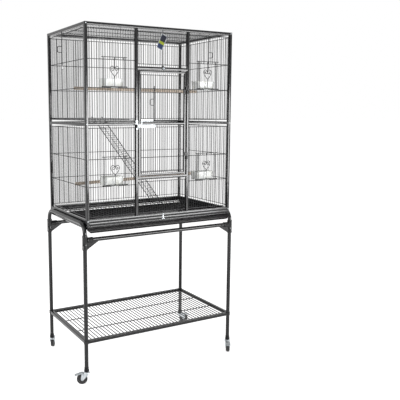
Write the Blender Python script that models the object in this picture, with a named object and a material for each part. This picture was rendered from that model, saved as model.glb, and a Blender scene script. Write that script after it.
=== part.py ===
"""Parrot flight cage on a rolling stand, built the way the real one is welded and bolted.

Frame: +X to the right along the long front, +Y to the back, +Z up, metres.
The origin is on the floor, under the middle of the cage.
"""

import math

import bmesh
import bpy
from mathutils import Matrix, Vector

MM = 0.001
GAP = 0.3 * MM  # clearance between pieces that touch
PLAY = 0.6 * MM  # radial clearance of a pin or rod in its hole

# Cage body: square tube, measured to the centre lines of its corner posts
CAGE_X = 384 * MM
CAGE_Y = 232 * MM
TUBE = 12.7 * MM
CAGE_Z = 750 * MM  # underside of the bottom rail
CAGE_H = 876 * MM
MULLION_X = 138 * MM  # centre of the two uprights that flank the door

# Wire mesh
PITCH = 12.7 * MM
WIRE_R = 1.45 * MM
CROSS = 3.2 * MM  # side of a square cross wire
END_IN = 11 * MM  # end wire, from the face of the rail it runs along
SPAN_UPPER = 131.3 * MM  # from the highest wire of a level down to the top of its feeder opening
SPAN_LOWER = 138.6 * MM
FEEDER_H = 123.5 * MM  # height of a feeder opening
TIE_COUNT = 8  # one wire in this many runs on to the rail, on the front
EDGE = 3 * MM  # edge strip of a side panel

# Main door
DOOR_TUBE = 10 * MM
DOOR_GAP = 4 * MM
SILL_RISE = 187 * MM  # centre of the sill rail, above the bottom of the cage
HEADER_DROP = 186 * MM  # centre of the header rail, below the top of the cage
BARREL_R = 4 * MM
BARREL_L = 17 * MM
HINGE_PIN_R = 1.8 * MM
HINGE_IN = 70 * MM  # from each end of the door

# Latch on the middle rail of the door
LATCH_X = -45 * MM  # its pivot
LATCH_DROP = 10 * MM  # below the centre of the middle rail
LATCH_L = 101 * MM
LATCH_T = 2.5 * MM
LATCH_H = 11 * MM
KNOB_R = 8 * MM

# Slide rods with a D handle: two side walls and the door
ROD_R = 2 * MM
ROD_TAIL = 12 * MM  # how far a rod runs past its far eye
ROD_AT = -4 * PITCH  # along a side wall, in the place of a mesh wire
ROD_IN = 6 * MM  # how far its tip stands in the top rail
DOOR_ROD_X = -48 * MM
EYE_W = 9 * MM
EYE_T = 4 * MM
HANDLE_OUT = 22 * MM
HANDLE_H = 28 * MM
HANDLE_AT = 72 * MM  # below the tip

# Feeder doors and cups
FEEDER_COUNT = 9  # mesh pitches between the two guide wires
OUTER_COUNT = 5  # mesh wires between the corner post and the first guide
FEEDER_RISE = 10 * MM  # top bar above the opening
FEEDER_BAR = 5 * MM
HEART_W = 44 * MM
HEART_H = 44 * MM
HEART_UP = 46 * MM  # its tip above the bottom bar
CUP_D = 58 * MM
CUP_H = 40 * MM
CUP_WALL = 2 * MM
CUP_DRAFT = 3 * MM
CUP_SIDE = 5 * MM  # cup to guide wire
TONGUE_T = 1 * MM  # hanging part of the cup's tongue

# Fittings inside
PERCH_R = 7.5 * MM
PERCH_LEFT_Y = -85 * MM
PERCH_RIGHT_Y = 58 * MM
SHELF_BAR = 5 * MM  # square bar of the platform and the grate
SHELF_WIRE_R = 1.1 * MM
GRATE_PITCH = 25 * MM
PLATFORM_X = -165 * MM  # inner edge of the platform
LADDER_Y0 = 88 * MM
LADDER_Y1 = 212 * MM
LADDER_TILT = 53  # degrees below level
LADDER_R = 2 * MM
RUNG_STEP = 17 * MM
TAG_X = -PITCH / 2  # where it hangs on the top wire
TAG_W = 32 * MM
TAG_H = 70 * MM
TAG_T = 1 * MM

# Base: frame with runners, tray and grate
BASE_H = 12.7 * MM
RUNNER_T = 1.5 * MM
LEDGE = 11 * MM
TRAY_WALL = 1.5 * MM
TRAY_DEPTH = 22 * MM
TRAY_CHAMFER = 17 * MM
LIP_H = 27 * MM
LIP_T = 8 * MM
RIM = 2.4 * MM

# Stand
LEG_R = 9.5 * MM
LEG_SIDES = 8
LEG_Y = 233.5 * MM
LEG_FOOT_Z = 66 * MM
LEG_TOP_DROP = 5 * MM  # centre line of the top of each leg frame, below the underside of the cage
BEND_R = 48 * MM
RAIL_DROP = 71.5 * MM  # cross rails, below the top of the leg frames
SLEEVE_T = 2.2 * MM
SLEEVE_DROP = 45.5 * MM  # underside of a sleeve, below the cross rails
SLEEVE_H = 67 * MM
WEB = 56 * MM
WEB_T = 7 * MM
SOCKET_L = 26 * MM
SHELF_TUBE = 16 * MM
SHELF_Z = 199 * MM
SHELF_PITCH = 18.7 * MM

# Casters
WHEEL_R = 25 * MM
WHEEL_W = 17 * MM
AXLE_R = 3 * MM
TRAIL = 21 * MM
FORK_T = 2.4 * MM
CAP_R = 15 * MM
CAP_Z = 50 * MM
CAP_H = 8.5 * MM
STEM_R = 4 * MM
STEM_L = 26 * MM
COLLAR_R = 12 * MM
COLLAR_UP = 14 * MM
COLLAR_DOWN = 5 * MM
CASTER_TURN = {"front_left": 160, "front_right": 240, "back_right": 340, "back_left": 60}

# Places that follow from the sizes above
HALF = TUBE / 2
TOP_Z = CAGE_Z + CAGE_H
MID_Z = CAGE_Z + CAGE_H / 2  # centre of the middle rail
SILL_Z = CAGE_Z + SILL_RISE
HEADER_Z = TOP_Z - HEADER_DROP
LATCH_Z = MID_Z - LATCH_DROP
INNER_X = CAGE_X - HALF
INNER_Y = CAGE_Y - HALF
LEG_FLAT = LEG_R * math.cos(math.pi / LEG_SIDES)  # half width across the flats of a leg tube
LEG_X = CAGE_X + HALF + GAP + LEG_FLAT
LEG_TOP_Z = CAGE_Z - LEG_TOP_DROP
RAIL_Z = LEG_TOP_Z - RAIL_DROP
SLEEVE_LOW_Z = RAIL_Z - SLEEVE_DROP
SHIFT = WIRE_R + GAP + CROSS / 2  # cross wires lie this far inside the upright wires
BASE_Z = CAGE_Z - GAP - BASE_H
DOOR_X = MULLION_X - HALF - DOOR_GAP
DOOR_LOW_Z = SILL_Z + HALF + DOOR_GAP * 0.75
DOOR_HIGH_Z = HEADER_Z - HALF - DOOR_GAP * 0.75
HINGE_LOW_Z = DOOR_LOW_Z + HINGE_IN  # underside of each hinge
HINGE_HIGH_Z = DOOR_HIGH_Z - HINGE_IN - BARREL_L * 2
HINGE_X = MULLION_X - HALF - DOOR_GAP / 2
HINGE_Y = -(CAGE_Y + HALF + GAP + BARREL_R)
END_Z = (CAGE_Z + TUBE + END_IN, MID_Z - HALF - END_IN, MID_Z + HALF + END_IN, TOP_Z - TUBE - END_IN)
W1_Z = END_Z[3] - SPAN_UPPER  # the four long cross wires of the walls
W2_Z = W1_Z - FEEDER_H
W4_Z = END_Z[1] - SPAN_LOWER
W5_Z = W4_Z - FEEDER_H
LEVELS = {
    "upper": (END_Z[2], END_Z[3], W2_Z, W1_Z),
    "lower": (END_Z[0], END_Z[1], W5_Z, W4_Z),
}
ROD_TIP_Z = TOP_Z - TUBE + ROD_IN  # tips of the side rods, up in the top rail
DOOR_TIP_Z = MID_Z + DOOR_TUBE / 2 + END_IN - EYE_T  # tip of the door's rod, down
CORNERS = {"front_left": (-1, -1), "front_right": (1, -1), "back_right": (1, 1), "back_left": (-1, 1)}
SIDES = {"left": -1, "right": 1}


# Clearing and materials

def clear_scene():
    """Remove every object that is in the file."""
    for item in list(bpy.data.objects):
        bpy.data.objects.remove(item, do_unlink=True)


def paint(name, colour, roughness, metallic=0.0):
    """A Principled material."""
    material = bpy.data.materials.new(name)
    material.use_nodes = True
    shader = material.node_tree.nodes["Principled BSDF"]
    shader.inputs["Base Color"].default_value = (*colour, 1.0)
    shader.inputs["Roughness"].default_value = roughness
    shader.inputs["Metallic"].default_value = metallic
    return material


# Shapes, each added to a bmesh

def box(shape, low, high):
    """An upright block between two corners."""
    size = Vector(high) - Vector(low)
    place = Matrix.Translation((Vector(low) + Vector(high)) / 2) @ Matrix.Diagonal((*size, 1.0))
    bmesh.ops.create_cube(shape, size=1.0, matrix=place)


def rod(shape, start, end, radius, sides, turn=0.0):
    """A straight bar of any number of sides."""
    start = Vector(start)
    along = Vector(end) - start
    turned = along.to_track_quat("Z", "Y").to_matrix().to_4x4()
    place = Matrix.Translation(start + along / 2) @ turned @ Matrix.Rotation(turn, 4, "Z")
    bmesh.ops.create_cone(
        shape, cap_ends=True, segments=sides, radius1=radius, radius2=radius,
        depth=along.length, matrix=place)


def wire(shape, start, end, radius=WIRE_R):
    """A mesh wire: three sides, because there are hundreds."""
    rod(shape, start, end, radius, 3)


def cross_wire(shape, x0, x1, y, z):
    """A square cross wire that lies along X."""
    half = CROSS / 2
    box(shape, (x0, y - half, z - half), (x1, y + half, z + half))


def prism(shape, outline, axis, low, high):
    """A flat outline pushed along an axis: 0 is X with (y, z) points, 1 is Y with (x, z), 2 is Z."""
    def corner(a, b):
        return {0: (low, a, b), 1: (a, low, b), 2: (a, b, low)}[axis]
    face = shape.faces.new([shape.verts.new(corner(a, b)) for a, b in outline])
    pushed = bmesh.ops.extrude_face_region(shape, geom=[face])
    moved = [item for item in pushed["geom"] if isinstance(item, bmesh.types.BMVert)]
    step = Vector((0, 0, 0))
    step[axis] = high - low
    bmesh.ops.translate(shape, vec=step, verts=moved)


def lathe(shape, profile, steps, place):
    """A closed profile of (radius, height) points turned about Z, then placed."""
    fresh = bmesh.new()
    corners = [fresh.verts.new((radius, 0, height)) for radius, height in profile]
    edges = [fresh.edges.new((a, b)) for a, b in zip(corners, corners[1:] + corners[:1])]
    bmesh.ops.spin(
        fresh, geom=corners + edges, cent=(0, 0, 0), axis=(0, 0, 1),
        angle=2 * math.pi, steps=steps, use_merge=True)
    bmesh.ops.remove_doubles(fresh, verts=fresh.verts, dist=0.000001)
    loose = [edge for edge in fresh.edges if not edge.link_faces]
    bmesh.ops.delete(fresh, geom=loose, context="EDGES")
    bmesh.ops.transform(fresh, matrix=place, verts=fresh.verts)
    add(shape, fresh)


def bent(shape, points, radius, sides, closed=False):
    """A round bar along a path that lies in one plane."""
    points = [Vector(point) for point in points]
    count = len(points)
    normal = (points[1] - points[0]).cross(points[count // 2] - points[0]).normalized()
    rings = []
    for i, point in enumerate(points):
        before = points[i - 1] if i or closed else None
        after = points[(i + 1) % count] if i < count - 1 or closed else None
        arrive = (point - before).normalized() if before else (after - point).normalized()
        leave = (after - point).normalized() if after else arrive
        along = (arrive + leave).normalized()
        side = normal.cross(along) / along.dot(leave)
        ring = []
        for k in range(sides):
            angle = 2 * math.pi * (k + 0.5) / sides
            ring.append(shape.verts.new(
                point + side * radius * math.cos(angle) + normal * radius * math.sin(angle)))
        rings.append(ring)
    pairs = list(zip(rings, rings[1:] + rings[:1])) if closed else list(zip(rings, rings[1:]))
    for ring, following in pairs:
        for k in range(sides):
            n = (k + 1) % sides
            shape.faces.new((ring[k], ring[n], following[n], following[k]))
    if not closed:
        shape.faces.new(rings[0])
        shape.faces.new(rings[-1])


def plate(shape, xs, zs, y0, y1, filled):
    """A flat frame: the cells of a grid of lines that filled() names, between y0 and y1."""
    made = {}

    def corner(i, y, k):
        if (i, y, k) not in made:
            made[(i, y, k)] = shape.verts.new((xs[i], y, zs[k]))
        return made[(i, y, k)]

    def solid(i, k):
        return 0 <= i < len(xs) - 1 and 0 <= k < len(zs) - 1 and filled(i, k)

    for i in range(len(xs) - 1):
        for k in range(len(zs) - 1):
            if not solid(i, k):
                continue
            for y in (y0, y1):
                shape.faces.new([corner(*c) for c in
                                 ((i, y, k), (i + 1, y, k), (i + 1, y, k + 1), (i, y, k + 1))])
            walls = {(-1, 0): ((i, k), (i, k + 1)), (1, 0): ((i + 1, k), (i + 1, k + 1)),
                     (0, -1): ((i, k), (i + 1, k)), (0, 1): ((i, k + 1), (i + 1, k + 1))}
            for (di, dk), ((ia, ka), (ib, kb)) in walls.items():
                if not solid(i + di, k + dk):
                    shape.faces.new([corner(*c) for c in
                                     ((ia, y0, ka), (ib, y0, kb), (ib, y1, kb), (ia, y1, ka))])


def add(shape, other):
    """Copy the geometry of other into shape and free it."""
    mesh = bpy.data.meshes.new("part_of_shape")
    other.to_mesh(mesh)
    other.free()
    shape.from_mesh(mesh)
    bpy.data.meshes.remove(mesh)


def combined(base, others, operation):
    """The Boolean of base with each shape in others, which it frees."""
    objects = []
    for shape in [base] + others:
        bmesh.ops.recalc_face_normals(shape, faces=shape.faces)
        mesh = bpy.data.meshes.new("operand")
        shape.to_mesh(mesh)
        shape.free()
        item = bpy.data.objects.new("operand", mesh)
        bpy.context.scene.collection.objects.link(item)
        item.hide_render = True
        item.display_type = "WIRE"
        objects.append(item)
    for tool in objects[1:]:
        modifier = objects[0].modifiers.new("combine", "BOOLEAN")
        modifier.operation = operation
        modifier.solver = "EXACT"
        modifier.object = tool
    graph = bpy.context.evaluated_depsgraph_get()
    result = bmesh.new()
    mesh = bpy.data.meshes.new_from_object(objects[0].evaluated_get(graph))
    result.from_mesh(mesh)
    bpy.data.meshes.remove(mesh)
    for item in objects:
        mesh = item.data
        bpy.data.objects.remove(item, do_unlink=True)
        bpy.data.meshes.remove(mesh)
    return result


def welded(base, *others):
    """The pieces made one solid."""
    return combined(base, list(others), "UNION")


def cut(base, *others):
    """The base with the other shapes taken out of it."""
    return combined(base, list(others), "DIFFERENCE")


def shape_of(draw, *sizes):
    """A new shape that holds what draw adds."""
    shape = bmesh.new()
    draw(shape, *sizes)
    return shape


def moved(shape, place):
    """The shape, placed by a matrix."""
    bmesh.ops.transform(shape, matrix=place, verts=shape.verts)
    return shape


def piece(name, shape, material, origin=(0, 0, 0), smooth=False):
    """A named object. Its origin is on its joint's axis where it moves."""
    bmesh.ops.dissolve_degenerate(shape, edges=shape.edges, dist=0.0000001)
    bmesh.ops.recalc_face_normals(shape, faces=shape.faces)
    bmesh.ops.translate(shape, vec=-Vector(origin), verts=shape.verts)
    mesh = bpy.data.meshes.new(name)
    shape.to_mesh(mesh)
    shape.free()
    mesh.materials.append(material)
    if smooth:
        mesh.shade_smooth()
        mesh.set_sharp_from_angle(angle=math.radians(40))
    item = bpy.data.objects.new(name, mesh)
    item.location = origin
    bpy.context.scene.collection.objects.link(item)
    return item


# Wire mesh

def places(low, high, pitch):
    """Centred positions at a pitch, clear of both ends."""
    count = int((high - low - pitch * 0.5) / pitch) + 1
    first = (low + high) / 2 - (count - 1) * pitch / 2
    return [first + i * pitch for i in range(count)]


def between(xs, near):
    """The middle of the gap between two wires that lies nearest a place."""
    return min(((a + b) / 2 for a, b in zip(xs, xs[1:])), key=lambda middle: abs(middle - near))


def uprights(shape, xs, z0, z1, y=0.0):
    """A row of upright mesh wires whose ends stand in the cross wires at z0 and z1."""
    for x in xs:
        wire(shape, (x, y, z0), (x, y, z1))


def ties(shape, xs, z_end, z_rail):
    """The few wires that run on from an end wire to the rail."""
    for x in xs[TIE_COUNT // 2::TIE_COUNT]:
        wire(shape, (x, 0, z_end), (x, 0, z_rail))


# Cage walls

def wall(x_end, edge, xs):
    """Three rails between two uprights, with a wire mesh above the middle rail and one below it."""
    frame = bmesh.new()
    lines = [CAGE_Z, CAGE_Z + TUBE, MID_Z - HALF, MID_Z + HALF, TOP_Z - TUBE, TOP_Z]
    plate(frame, [-x_end, edge - x_end, x_end - edge, x_end], lines, -HALF, HALF,
          lambda i, k: i != 1 or k in (0, 2, 4))
    across = bmesh.new()
    reach = x_end - edge / 2
    for z in END_Z:
        cross_wire(across, -reach, reach, 0, z)
    for z in (W1_Z, W2_Z, W4_Z, W5_Z):
        cross_wire(across, -reach, reach, SHIFT, z)
    up = bmesh.new()
    uprights(up, xs, END_Z[0], END_Z[1])
    uprights(up, xs, END_Z[2], END_Z[3])
    return welded(frame, across, up)


def back_panel(black):
    """Two corner posts, three rails and the wire mesh, welded in one."""
    shape = wall(CAGE_X + HALF, TUBE, places(-INNER_X, INNER_X, PITCH))
    turned = Matrix.Translation((0, CAGE_Y, 0)) @ Matrix.Rotation(math.pi, 4, "Z")
    piece("back_panel", moved(shape, turned), black)


def rod_eye(shape, x, y0, y1, z):
    """The block of a guide eye."""
    box(shape, (x - EYE_W / 2, y0, z - EYE_T / 2), (x + EYE_W / 2, y1, z + EYE_T / 2))


def side_panel(side, black):
    """An end wall: rails and thin edge strips, the mesh and the guide eyes of the slide rod."""
    x_end = INNER_Y - GAP
    xs = [x for x in places(EDGE - x_end, x_end - EDGE, PITCH) if abs(x - ROD_AT) > PITCH / 2]
    below = bmesh.new()
    stop_z = W1_Z - ROD_TAIL - PITCH * 1.5
    wire(below, (ROD_AT, 0, END_Z[0]), (ROD_AT, 0, END_Z[1]))
    wire(below, (ROD_AT, 0, END_Z[2]), (ROD_AT, 0, stop_z))
    bridge = bmesh.new()
    cross_wire(bridge, ROD_AT - PITCH - CROSS / 2, ROD_AT + PITCH + CROSS / 2, 0, stop_z)
    eyes = bmesh.new()
    rod_eye(eyes, ROD_AT, -EYE_W / 2, EYE_W / 2, END_Z[3])
    rod_eye(eyes, ROD_AT, -EYE_W / 2, SHIFT + CROSS / 4, W1_Z)
    hole = shape_of(rod, (ROD_AT, 0, W1_Z - EYE_T), (ROD_AT, 0, ROD_TIP_Z + PLAY),
                    ROD_R + PLAY, 6)
    shape = cut(welded(wall(x_end, EDGE, xs), bridge, below, eyes), hole)
    turned = Matrix.Rotation(SIDES[side] * math.pi / 2, 4, "Z")
    place = Matrix.Translation((SIDES[side] * CAGE_X, 0, 0)) @ turned
    piece(side + "_panel", moved(shape, place), black)


def roof_panel(black):
    """The roof drops in between the top rails of the four walls."""
    x_end = INNER_X - GAP
    y_end = INNER_Y - GAP
    frame = bmesh.new()
    plate(frame, [-x_end, TUBE - x_end, x_end - TUBE, x_end],
          [-y_end, TUBE - y_end, y_end - TUBE, y_end], -HALF, HALF,
          lambda i, k: i != 1 or k != 1)
    across = bmesh.new()
    for z in (-y_end / 2, 0, y_end / 2):
        cross_wire(across, HALF - x_end, x_end - HALF, SHIFT, z)
    up = bmesh.new()
    uprights(up, places(TUBE - x_end, x_end - TUBE, PITCH), HALF - y_end, y_end - HALF)
    shape = welded(frame, across, up)
    laid = Matrix.Translation((0, 0, TOP_Z - HALF)) @ Matrix.Rotation(-math.pi / 2, 4, "X")
    piece("roof_panel", moved(shape, laid), black)


def front_frame(black):
    """Tube frame of the front wall, with the lower halves of the door hinges and their fixed pins."""
    frame = bmesh.new()
    xs = [-CAGE_X - HALF, -INNER_X, -MULLION_X - HALF, -MULLION_X + HALF,
          MULLION_X - HALF, MULLION_X + HALF, INNER_X, CAGE_X + HALF]
    zs = [CAGE_Z, CAGE_Z + TUBE, SILL_Z - HALF, SILL_Z + HALF, MID_Z - HALF, MID_Z + HALF,
          HEADER_Z - HALF, HEADER_Z + HALF, TOP_Z - TUBE, TOP_Z]
    bars = {0: (0, 8, 4), 1: (0, 8, 2, 6)}
    plate(frame, xs, zs, -CAGE_Y - HALF, -CAGE_Y + HALF,
          lambda i, k: i % 2 == 0 or k in bars[i == 3])
    leaves = bmesh.new()
    barrels = bmesh.new()
    pins = bmesh.new()
    for z in (HINGE_LOW_Z, HINGE_HIGH_Z):
        box(leaves, (HINGE_X + BARREL_R / 3, HINGE_Y - BARREL_R / 3, z + GAP),
            (MULLION_X - BARREL_R / 3, -CAGE_Y - HALF + GAP * 2, z + BARREL_L - GAP))
        rod(barrels, (HINGE_X, HINGE_Y, z), (HINGE_X, HINGE_Y, z + BARREL_L), BARREL_R, 8)
        rod(pins, (HINGE_X, HINGE_Y, z + BARREL_L / 2), (HINGE_X, HINGE_Y, z + BARREL_L * 2), HINGE_PIN_R, 6)
    piece("front_frame", welded(frame, leaves, barrels, pins), black)


def bay(side):
    """The span of a front bay along X."""
    ends = (SIDES[side] * INNER_X, SIDES[side] * (MULLION_X + HALF))
    return min(ends) + GAP, max(ends) - GAP


def feeder_guides(side):
    """The two wires along which the feeder doors of a bay slide."""
    xs = places(*bay(side), PITCH)
    if side == "right":
        xs.reverse()
    return tuple(sorted((xs[OUTER_COUNT], xs[OUTER_COUNT + FEEDER_COUNT])))


def feeder_middle(side):
    """Centre of a feeder opening along X."""
    return sum(feeder_guides(side)) / 2


def bay_mesh(side, level, black):
    """Half the wires of a front bay, with a feeder opening."""
    bottom, top, z_low, z_high = LEVELS[level]
    low, high = bay(side)
    xs = places(low, high, PITCH)
    guides = feeder_guides(side)
    inner = [x for x in xs if guides[0] + GAP < x < guides[1] - GAP]
    outer = [x for x in xs if x < guides[0] - GAP or x > guides[1] + GAP]
    half = CROSS / 2
    across = bmesh.new()
    ends = (low + half, high - half)
    for z in (bottom, top):
        cross_wire(across, *ends, 0, z)
    for z in (z_low, z_high):
        cross_wire(across, *guides, 0, z)
        cross_wire(across, *ends, SHIFT, z)
    sides = bmesh.new()
    for x in guides:
        box(sides, (x - WIRE_R, -WIRE_R, bottom), (x + WIRE_R, WIRE_R, top))
    up = bmesh.new()
    uprights(up, outer, bottom, top)
    uprights(up, inner, bottom, z_low)
    uprights(up, inner, z_high, top)
    short = bmesh.new()
    ties(short, xs, bottom, bottom - END_IN + GAP)
    ties(short, xs, top, top + END_IN - GAP)
    strips = bmesh.new()
    for x in ends:
        box(strips, (x - half, -half - GAP, bottom - half - GAP), (x + half, SHIFT + half + GAP, top + half + GAP))
    shape = welded(strips, across, sides, up, short)
    piece(f"front_mesh_{level}_{side}", moved(shape, Matrix.Translation((0, -CAGE_Y, 0))), black)


def centre_mesh(name, z_low, z_high, black, boss=False):
    """The wires above or below the door, between the two mullions."""
    edge = MULLION_X - HALF - GAP
    across = bmesh.new()
    for z in (z_low + END_IN, z_high - END_IN):
        cross_wire(across, -edge, edge, 0, z)
    xs = places(-edge, edge, PITCH)
    middle = len(xs) // 2
    up = bmesh.new()
    uprights(up, [x for i, x in enumerate(xs) if i != middle or not boss], z_low + END_IN, z_high - END_IN)
    parts = [up]
    if boss:
        stiff = bmesh.new()
        rod(stiff, (xs[middle], 0, z_low + GAP), (xs[middle], 0, z_high - GAP), WIRE_R * 1.2, 4, math.pi / 4)
        parts.append(stiff)
    shape = welded(across, *parts)
    piece(name, moved(shape, Matrix.Translation((0, -CAGE_Y, 0))), black)


# Door

def door(black):
    """Main door: tube frame with its own middle rail and mesh, hinge barrels and the eyes of its rod."""
    half = DOOR_TUBE / 2
    zs = [DOOR_LOW_Z, DOOR_LOW_Z + DOOR_TUBE, MID_Z - half, MID_Z + half,
          DOOR_HIGH_Z - DOOR_TUBE, DOOR_HIGH_Z]
    frame = bmesh.new()
    plate(frame, [-DOOR_X, DOOR_TUBE - DOOR_X, DOOR_X - DOOR_TUBE, DOOR_X], zs, -half, half,
          lambda i, k: i != 1 or k in (0, 2, 4))
    ends = (zs[1] + END_IN, zs[2] - END_IN, zs[3] + END_IN, zs[4] - END_IN)
    across = bmesh.new()
    for z in ends:
        cross_wire(across, half - DOOR_X, DOOR_X - half, 0, z)
    for z in (W2_Z, W4_Z):
        cross_wire(across, half - DOOR_X, DOOR_X - half, SHIFT, z)
    up = bmesh.new()
    xs = places(DOOR_TUBE - DOOR_X, DOOR_X - DOOR_TUBE, PITCH)
    uprights(up, xs, ends[0], ends[1])
    uprights(up, xs, ends[2], ends[3])
    eyes = bmesh.new()
    rod_y = door_rod_y() + CAGE_Y
    for z, back in ((ends[2], CROSS / 4), (W2_Z, SHIFT)):
        rod_eye(eyes, DOOR_ROD_X, rod_y - EYE_W / 2, back, z)
    leaves = bmesh.new()
    barrels = bmesh.new()
    bores = bmesh.new()
    hinge_y = HINGE_Y + CAGE_Y
    for z in (HINGE_LOW_Z, HINGE_HIGH_Z):
        start = z + BARREL_L + GAP
        box(leaves, (DOOR_X - half, hinge_y - BARREL_R / 3, start + GAP),
            (HINGE_X - BARREL_R / 3, -half + GAP * 2, start + BARREL_L - GAP))
        rod(barrels, (HINGE_X, hinge_y, start), (HINGE_X, hinge_y, start + BARREL_L), BARREL_R, 8)
        rod(bores, (HINGE_X, hinge_y, start - GAP), (HINGE_X, hinge_y, start + BARREL_L + GAP),
            HINGE_PIN_R + GAP * 2, 6)
    shape = welded(frame, across, up, eyes, leaves, barrels)
    rod(bores, (DOOR_ROD_X, rod_y, ends[2] - EYE_T), (DOOR_ROD_X, rod_y, W2_Z + EYE_T), ROD_R + PLAY, 8)
    pin = shape_of(rod, (LATCH_X, -DOOR_TUBE, LATCH_Z), (LATCH_X, half / 2, LATCH_Z), STEM_R / 2 + GAP, 8)
    tab = shape_of(box, (LATCH_X - LATCH_H, -half + GAP, LATCH_Z - LATCH_H / 2),
                   (LATCH_X + LATCH_H, half - GAP, MID_Z))
    shape = cut(welded(shape, tab), bores, pin)
    piece("door", moved(shape, Matrix.Translation((0, -CAGE_Y, 0))), black, (HINGE_X, HINGE_Y, 0))


def latch_lever_y():
    """Mid plane of the latch lever, in front of the mullions."""
    return -(CAGE_Y + HALF + GAP * 2 + LATCH_T / 2)


def latch(zinc, plastic):
    """A lever that pivots on the door, drops into a catch on the mullion and lifts by its knob."""
    y = latch_lever_y()
    left = LATCH_X - LATCH_L
    half = LATCH_H / 2
    outline = [(left, LATCH_Z - half), (LATCH_X, LATCH_Z - half), (LATCH_X + half * 0.7, LATCH_Z - half * 0.7),
               (LATCH_X + half, LATCH_Z), (LATCH_X + half * 0.7, LATCH_Z + half * 0.7),
               (LATCH_X, LATCH_Z + half), (left, LATCH_Z + half)]
    bar = shape_of(prism, outline, 1, y - LATCH_T / 2, y + LATCH_T / 2)
    hole = shape_of(rod, (LATCH_X, y - LATCH_T, LATCH_Z), (LATCH_X, y + LATCH_T, LATCH_Z), STEM_R / 2 + GAP, 8)
    piece("latch_lever", cut(bar, hole), zinc, (LATCH_X, y, LATCH_Z))

    spread = Matrix.Translation((left, y, LATCH_Z)) @ Matrix.Rotation(math.pi / 2, 4, "X")
    profile = [(0, LATCH_T / 2 + GAP), (KNOB_R * 0.5, LATCH_T / 2 + GAP), (KNOB_R * 0.45, KNOB_R * 0.5),
               (KNOB_R, KNOB_R * 0.9), (KNOB_R * 0.8, KNOB_R * 1.5), (0, KNOB_R * 1.6)]
    piece("latch_knob", shape_of(lathe, profile, 12, spread), plastic, (LATCH_X, y, LATCH_Z), True)

    floor_z = LATCH_Z - half - GAP
    thick = LATCH_T
    front = y - LATCH_T / 2 - GAP
    back = -(CAGE_Y + HALF + GAP)
    outline = [(back, floor_z - thick * 1.5), (front, floor_z - thick), (front - thick, floor_z),
               (back, floor_z)]
    catch = shape_of(prism, outline, 0, -MULLION_X - half * 0.6, -MULLION_X + half)
    foot = shape_of(box, (-MULLION_X - half * 0.5, back - thick * 0.6, floor_z - thick * 4),
                    (-MULLION_X + half * 0.9, back, floor_z - thick / 2))
    piece("latch_catch", welded(catch, foot), zinc)

    head = y - LATCH_T / 2 - GAP
    outline = [(0, -CAGE_Y), (STEM_R / 2, -CAGE_Y), (STEM_R / 2, head), (STEM_R, head),
               (STEM_R, head - STEM_R / 2), (0, head - STEM_R / 2)]
    across = Matrix.Translation((LATCH_X, 0, LATCH_Z)) @ Matrix.Rotation(-math.pi / 2, 4, "X")
    piece("latch_pin", shape_of(lathe, outline, 8, across), zinc, (LATCH_X, y, LATCH_Z), True)


def door_rod_y():
    """The rod of the door stands in front of its middle rail."""
    return -(CAGE_Y + DOOR_TUBE / 2 + GAP + ROD_R)


def slide_rod(shape, end_z, out):
    """A rod from its tip at z = 0 to end_z, with a D handle that stands out towards out, a level vector."""
    sign = math.copysign(1, end_z)
    rod(shape, (0, 0, 0), (0, 0, end_z), ROD_R, 6)
    near = sign * HANDLE_AT
    far = near + sign * HANDLE_H
    reach = Vector(out) * HANDLE_OUT
    bow = [(0, 0, near), reach * 0.8 + Vector((0, 0, near)), reach + Vector((0, 0, near + sign * HANDLE_H / 4)),
           reach + Vector((0, 0, far - sign * HANDLE_H / 4)), reach * 0.8 + Vector((0, 0, far)), (0, 0, far)]
    handle = bmesh.new()
    bent(handle, bow, ROD_R * 0.75, 4)
    return handle


def slide_rods(black):
    """The rods of the two side walls, tips up in the top rail, and the rod of the door, tip down."""
    for side, sign in SIDES.items():
        body = bmesh.new()
        handle = slide_rod(body, W1_Z - ROD_TAIL - ROD_TIP_Z, (sign, 0, 0))
        origin = (sign * CAGE_X, sign * ROD_AT, ROD_TIP_Z)
        shape = moved(welded(body, handle), Matrix.Translation(origin))
        piece("slide_rod_" + side, shape, black, origin, True)
    body = bmesh.new()
    handle = slide_rod(body, W2_Z + ROD_TAIL - DOOR_TIP_Z, (-1, 0, 0))
    origin = (DOOR_ROD_X, door_rod_y(), DOOR_TIP_Z)
    shape = moved(welded(body, handle), Matrix.Translation(origin))
    piece("slide_rod_door", shape, black, origin, True)


# Feeders

def heart(width, height):
    """Points of a heart outline in X and Z, its tip at the origin."""
    right = [(0.27, 0.28), (0.46, 0.56), (0.49, 0.84), (0.3, 1.0), (0.1, 0.95)]
    left = [(-x, z) for x, z in reversed(right)]
    return [(x * width, z * height) for x, z in [(0, 0)] + right + [(0, 0.78)] + left]


def feeder_y():
    """Plane of a feeder door's wires, outside the mesh."""
    return -(CAGE_Y + CROSS + GAP * 2 + TONGUE_T)


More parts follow.
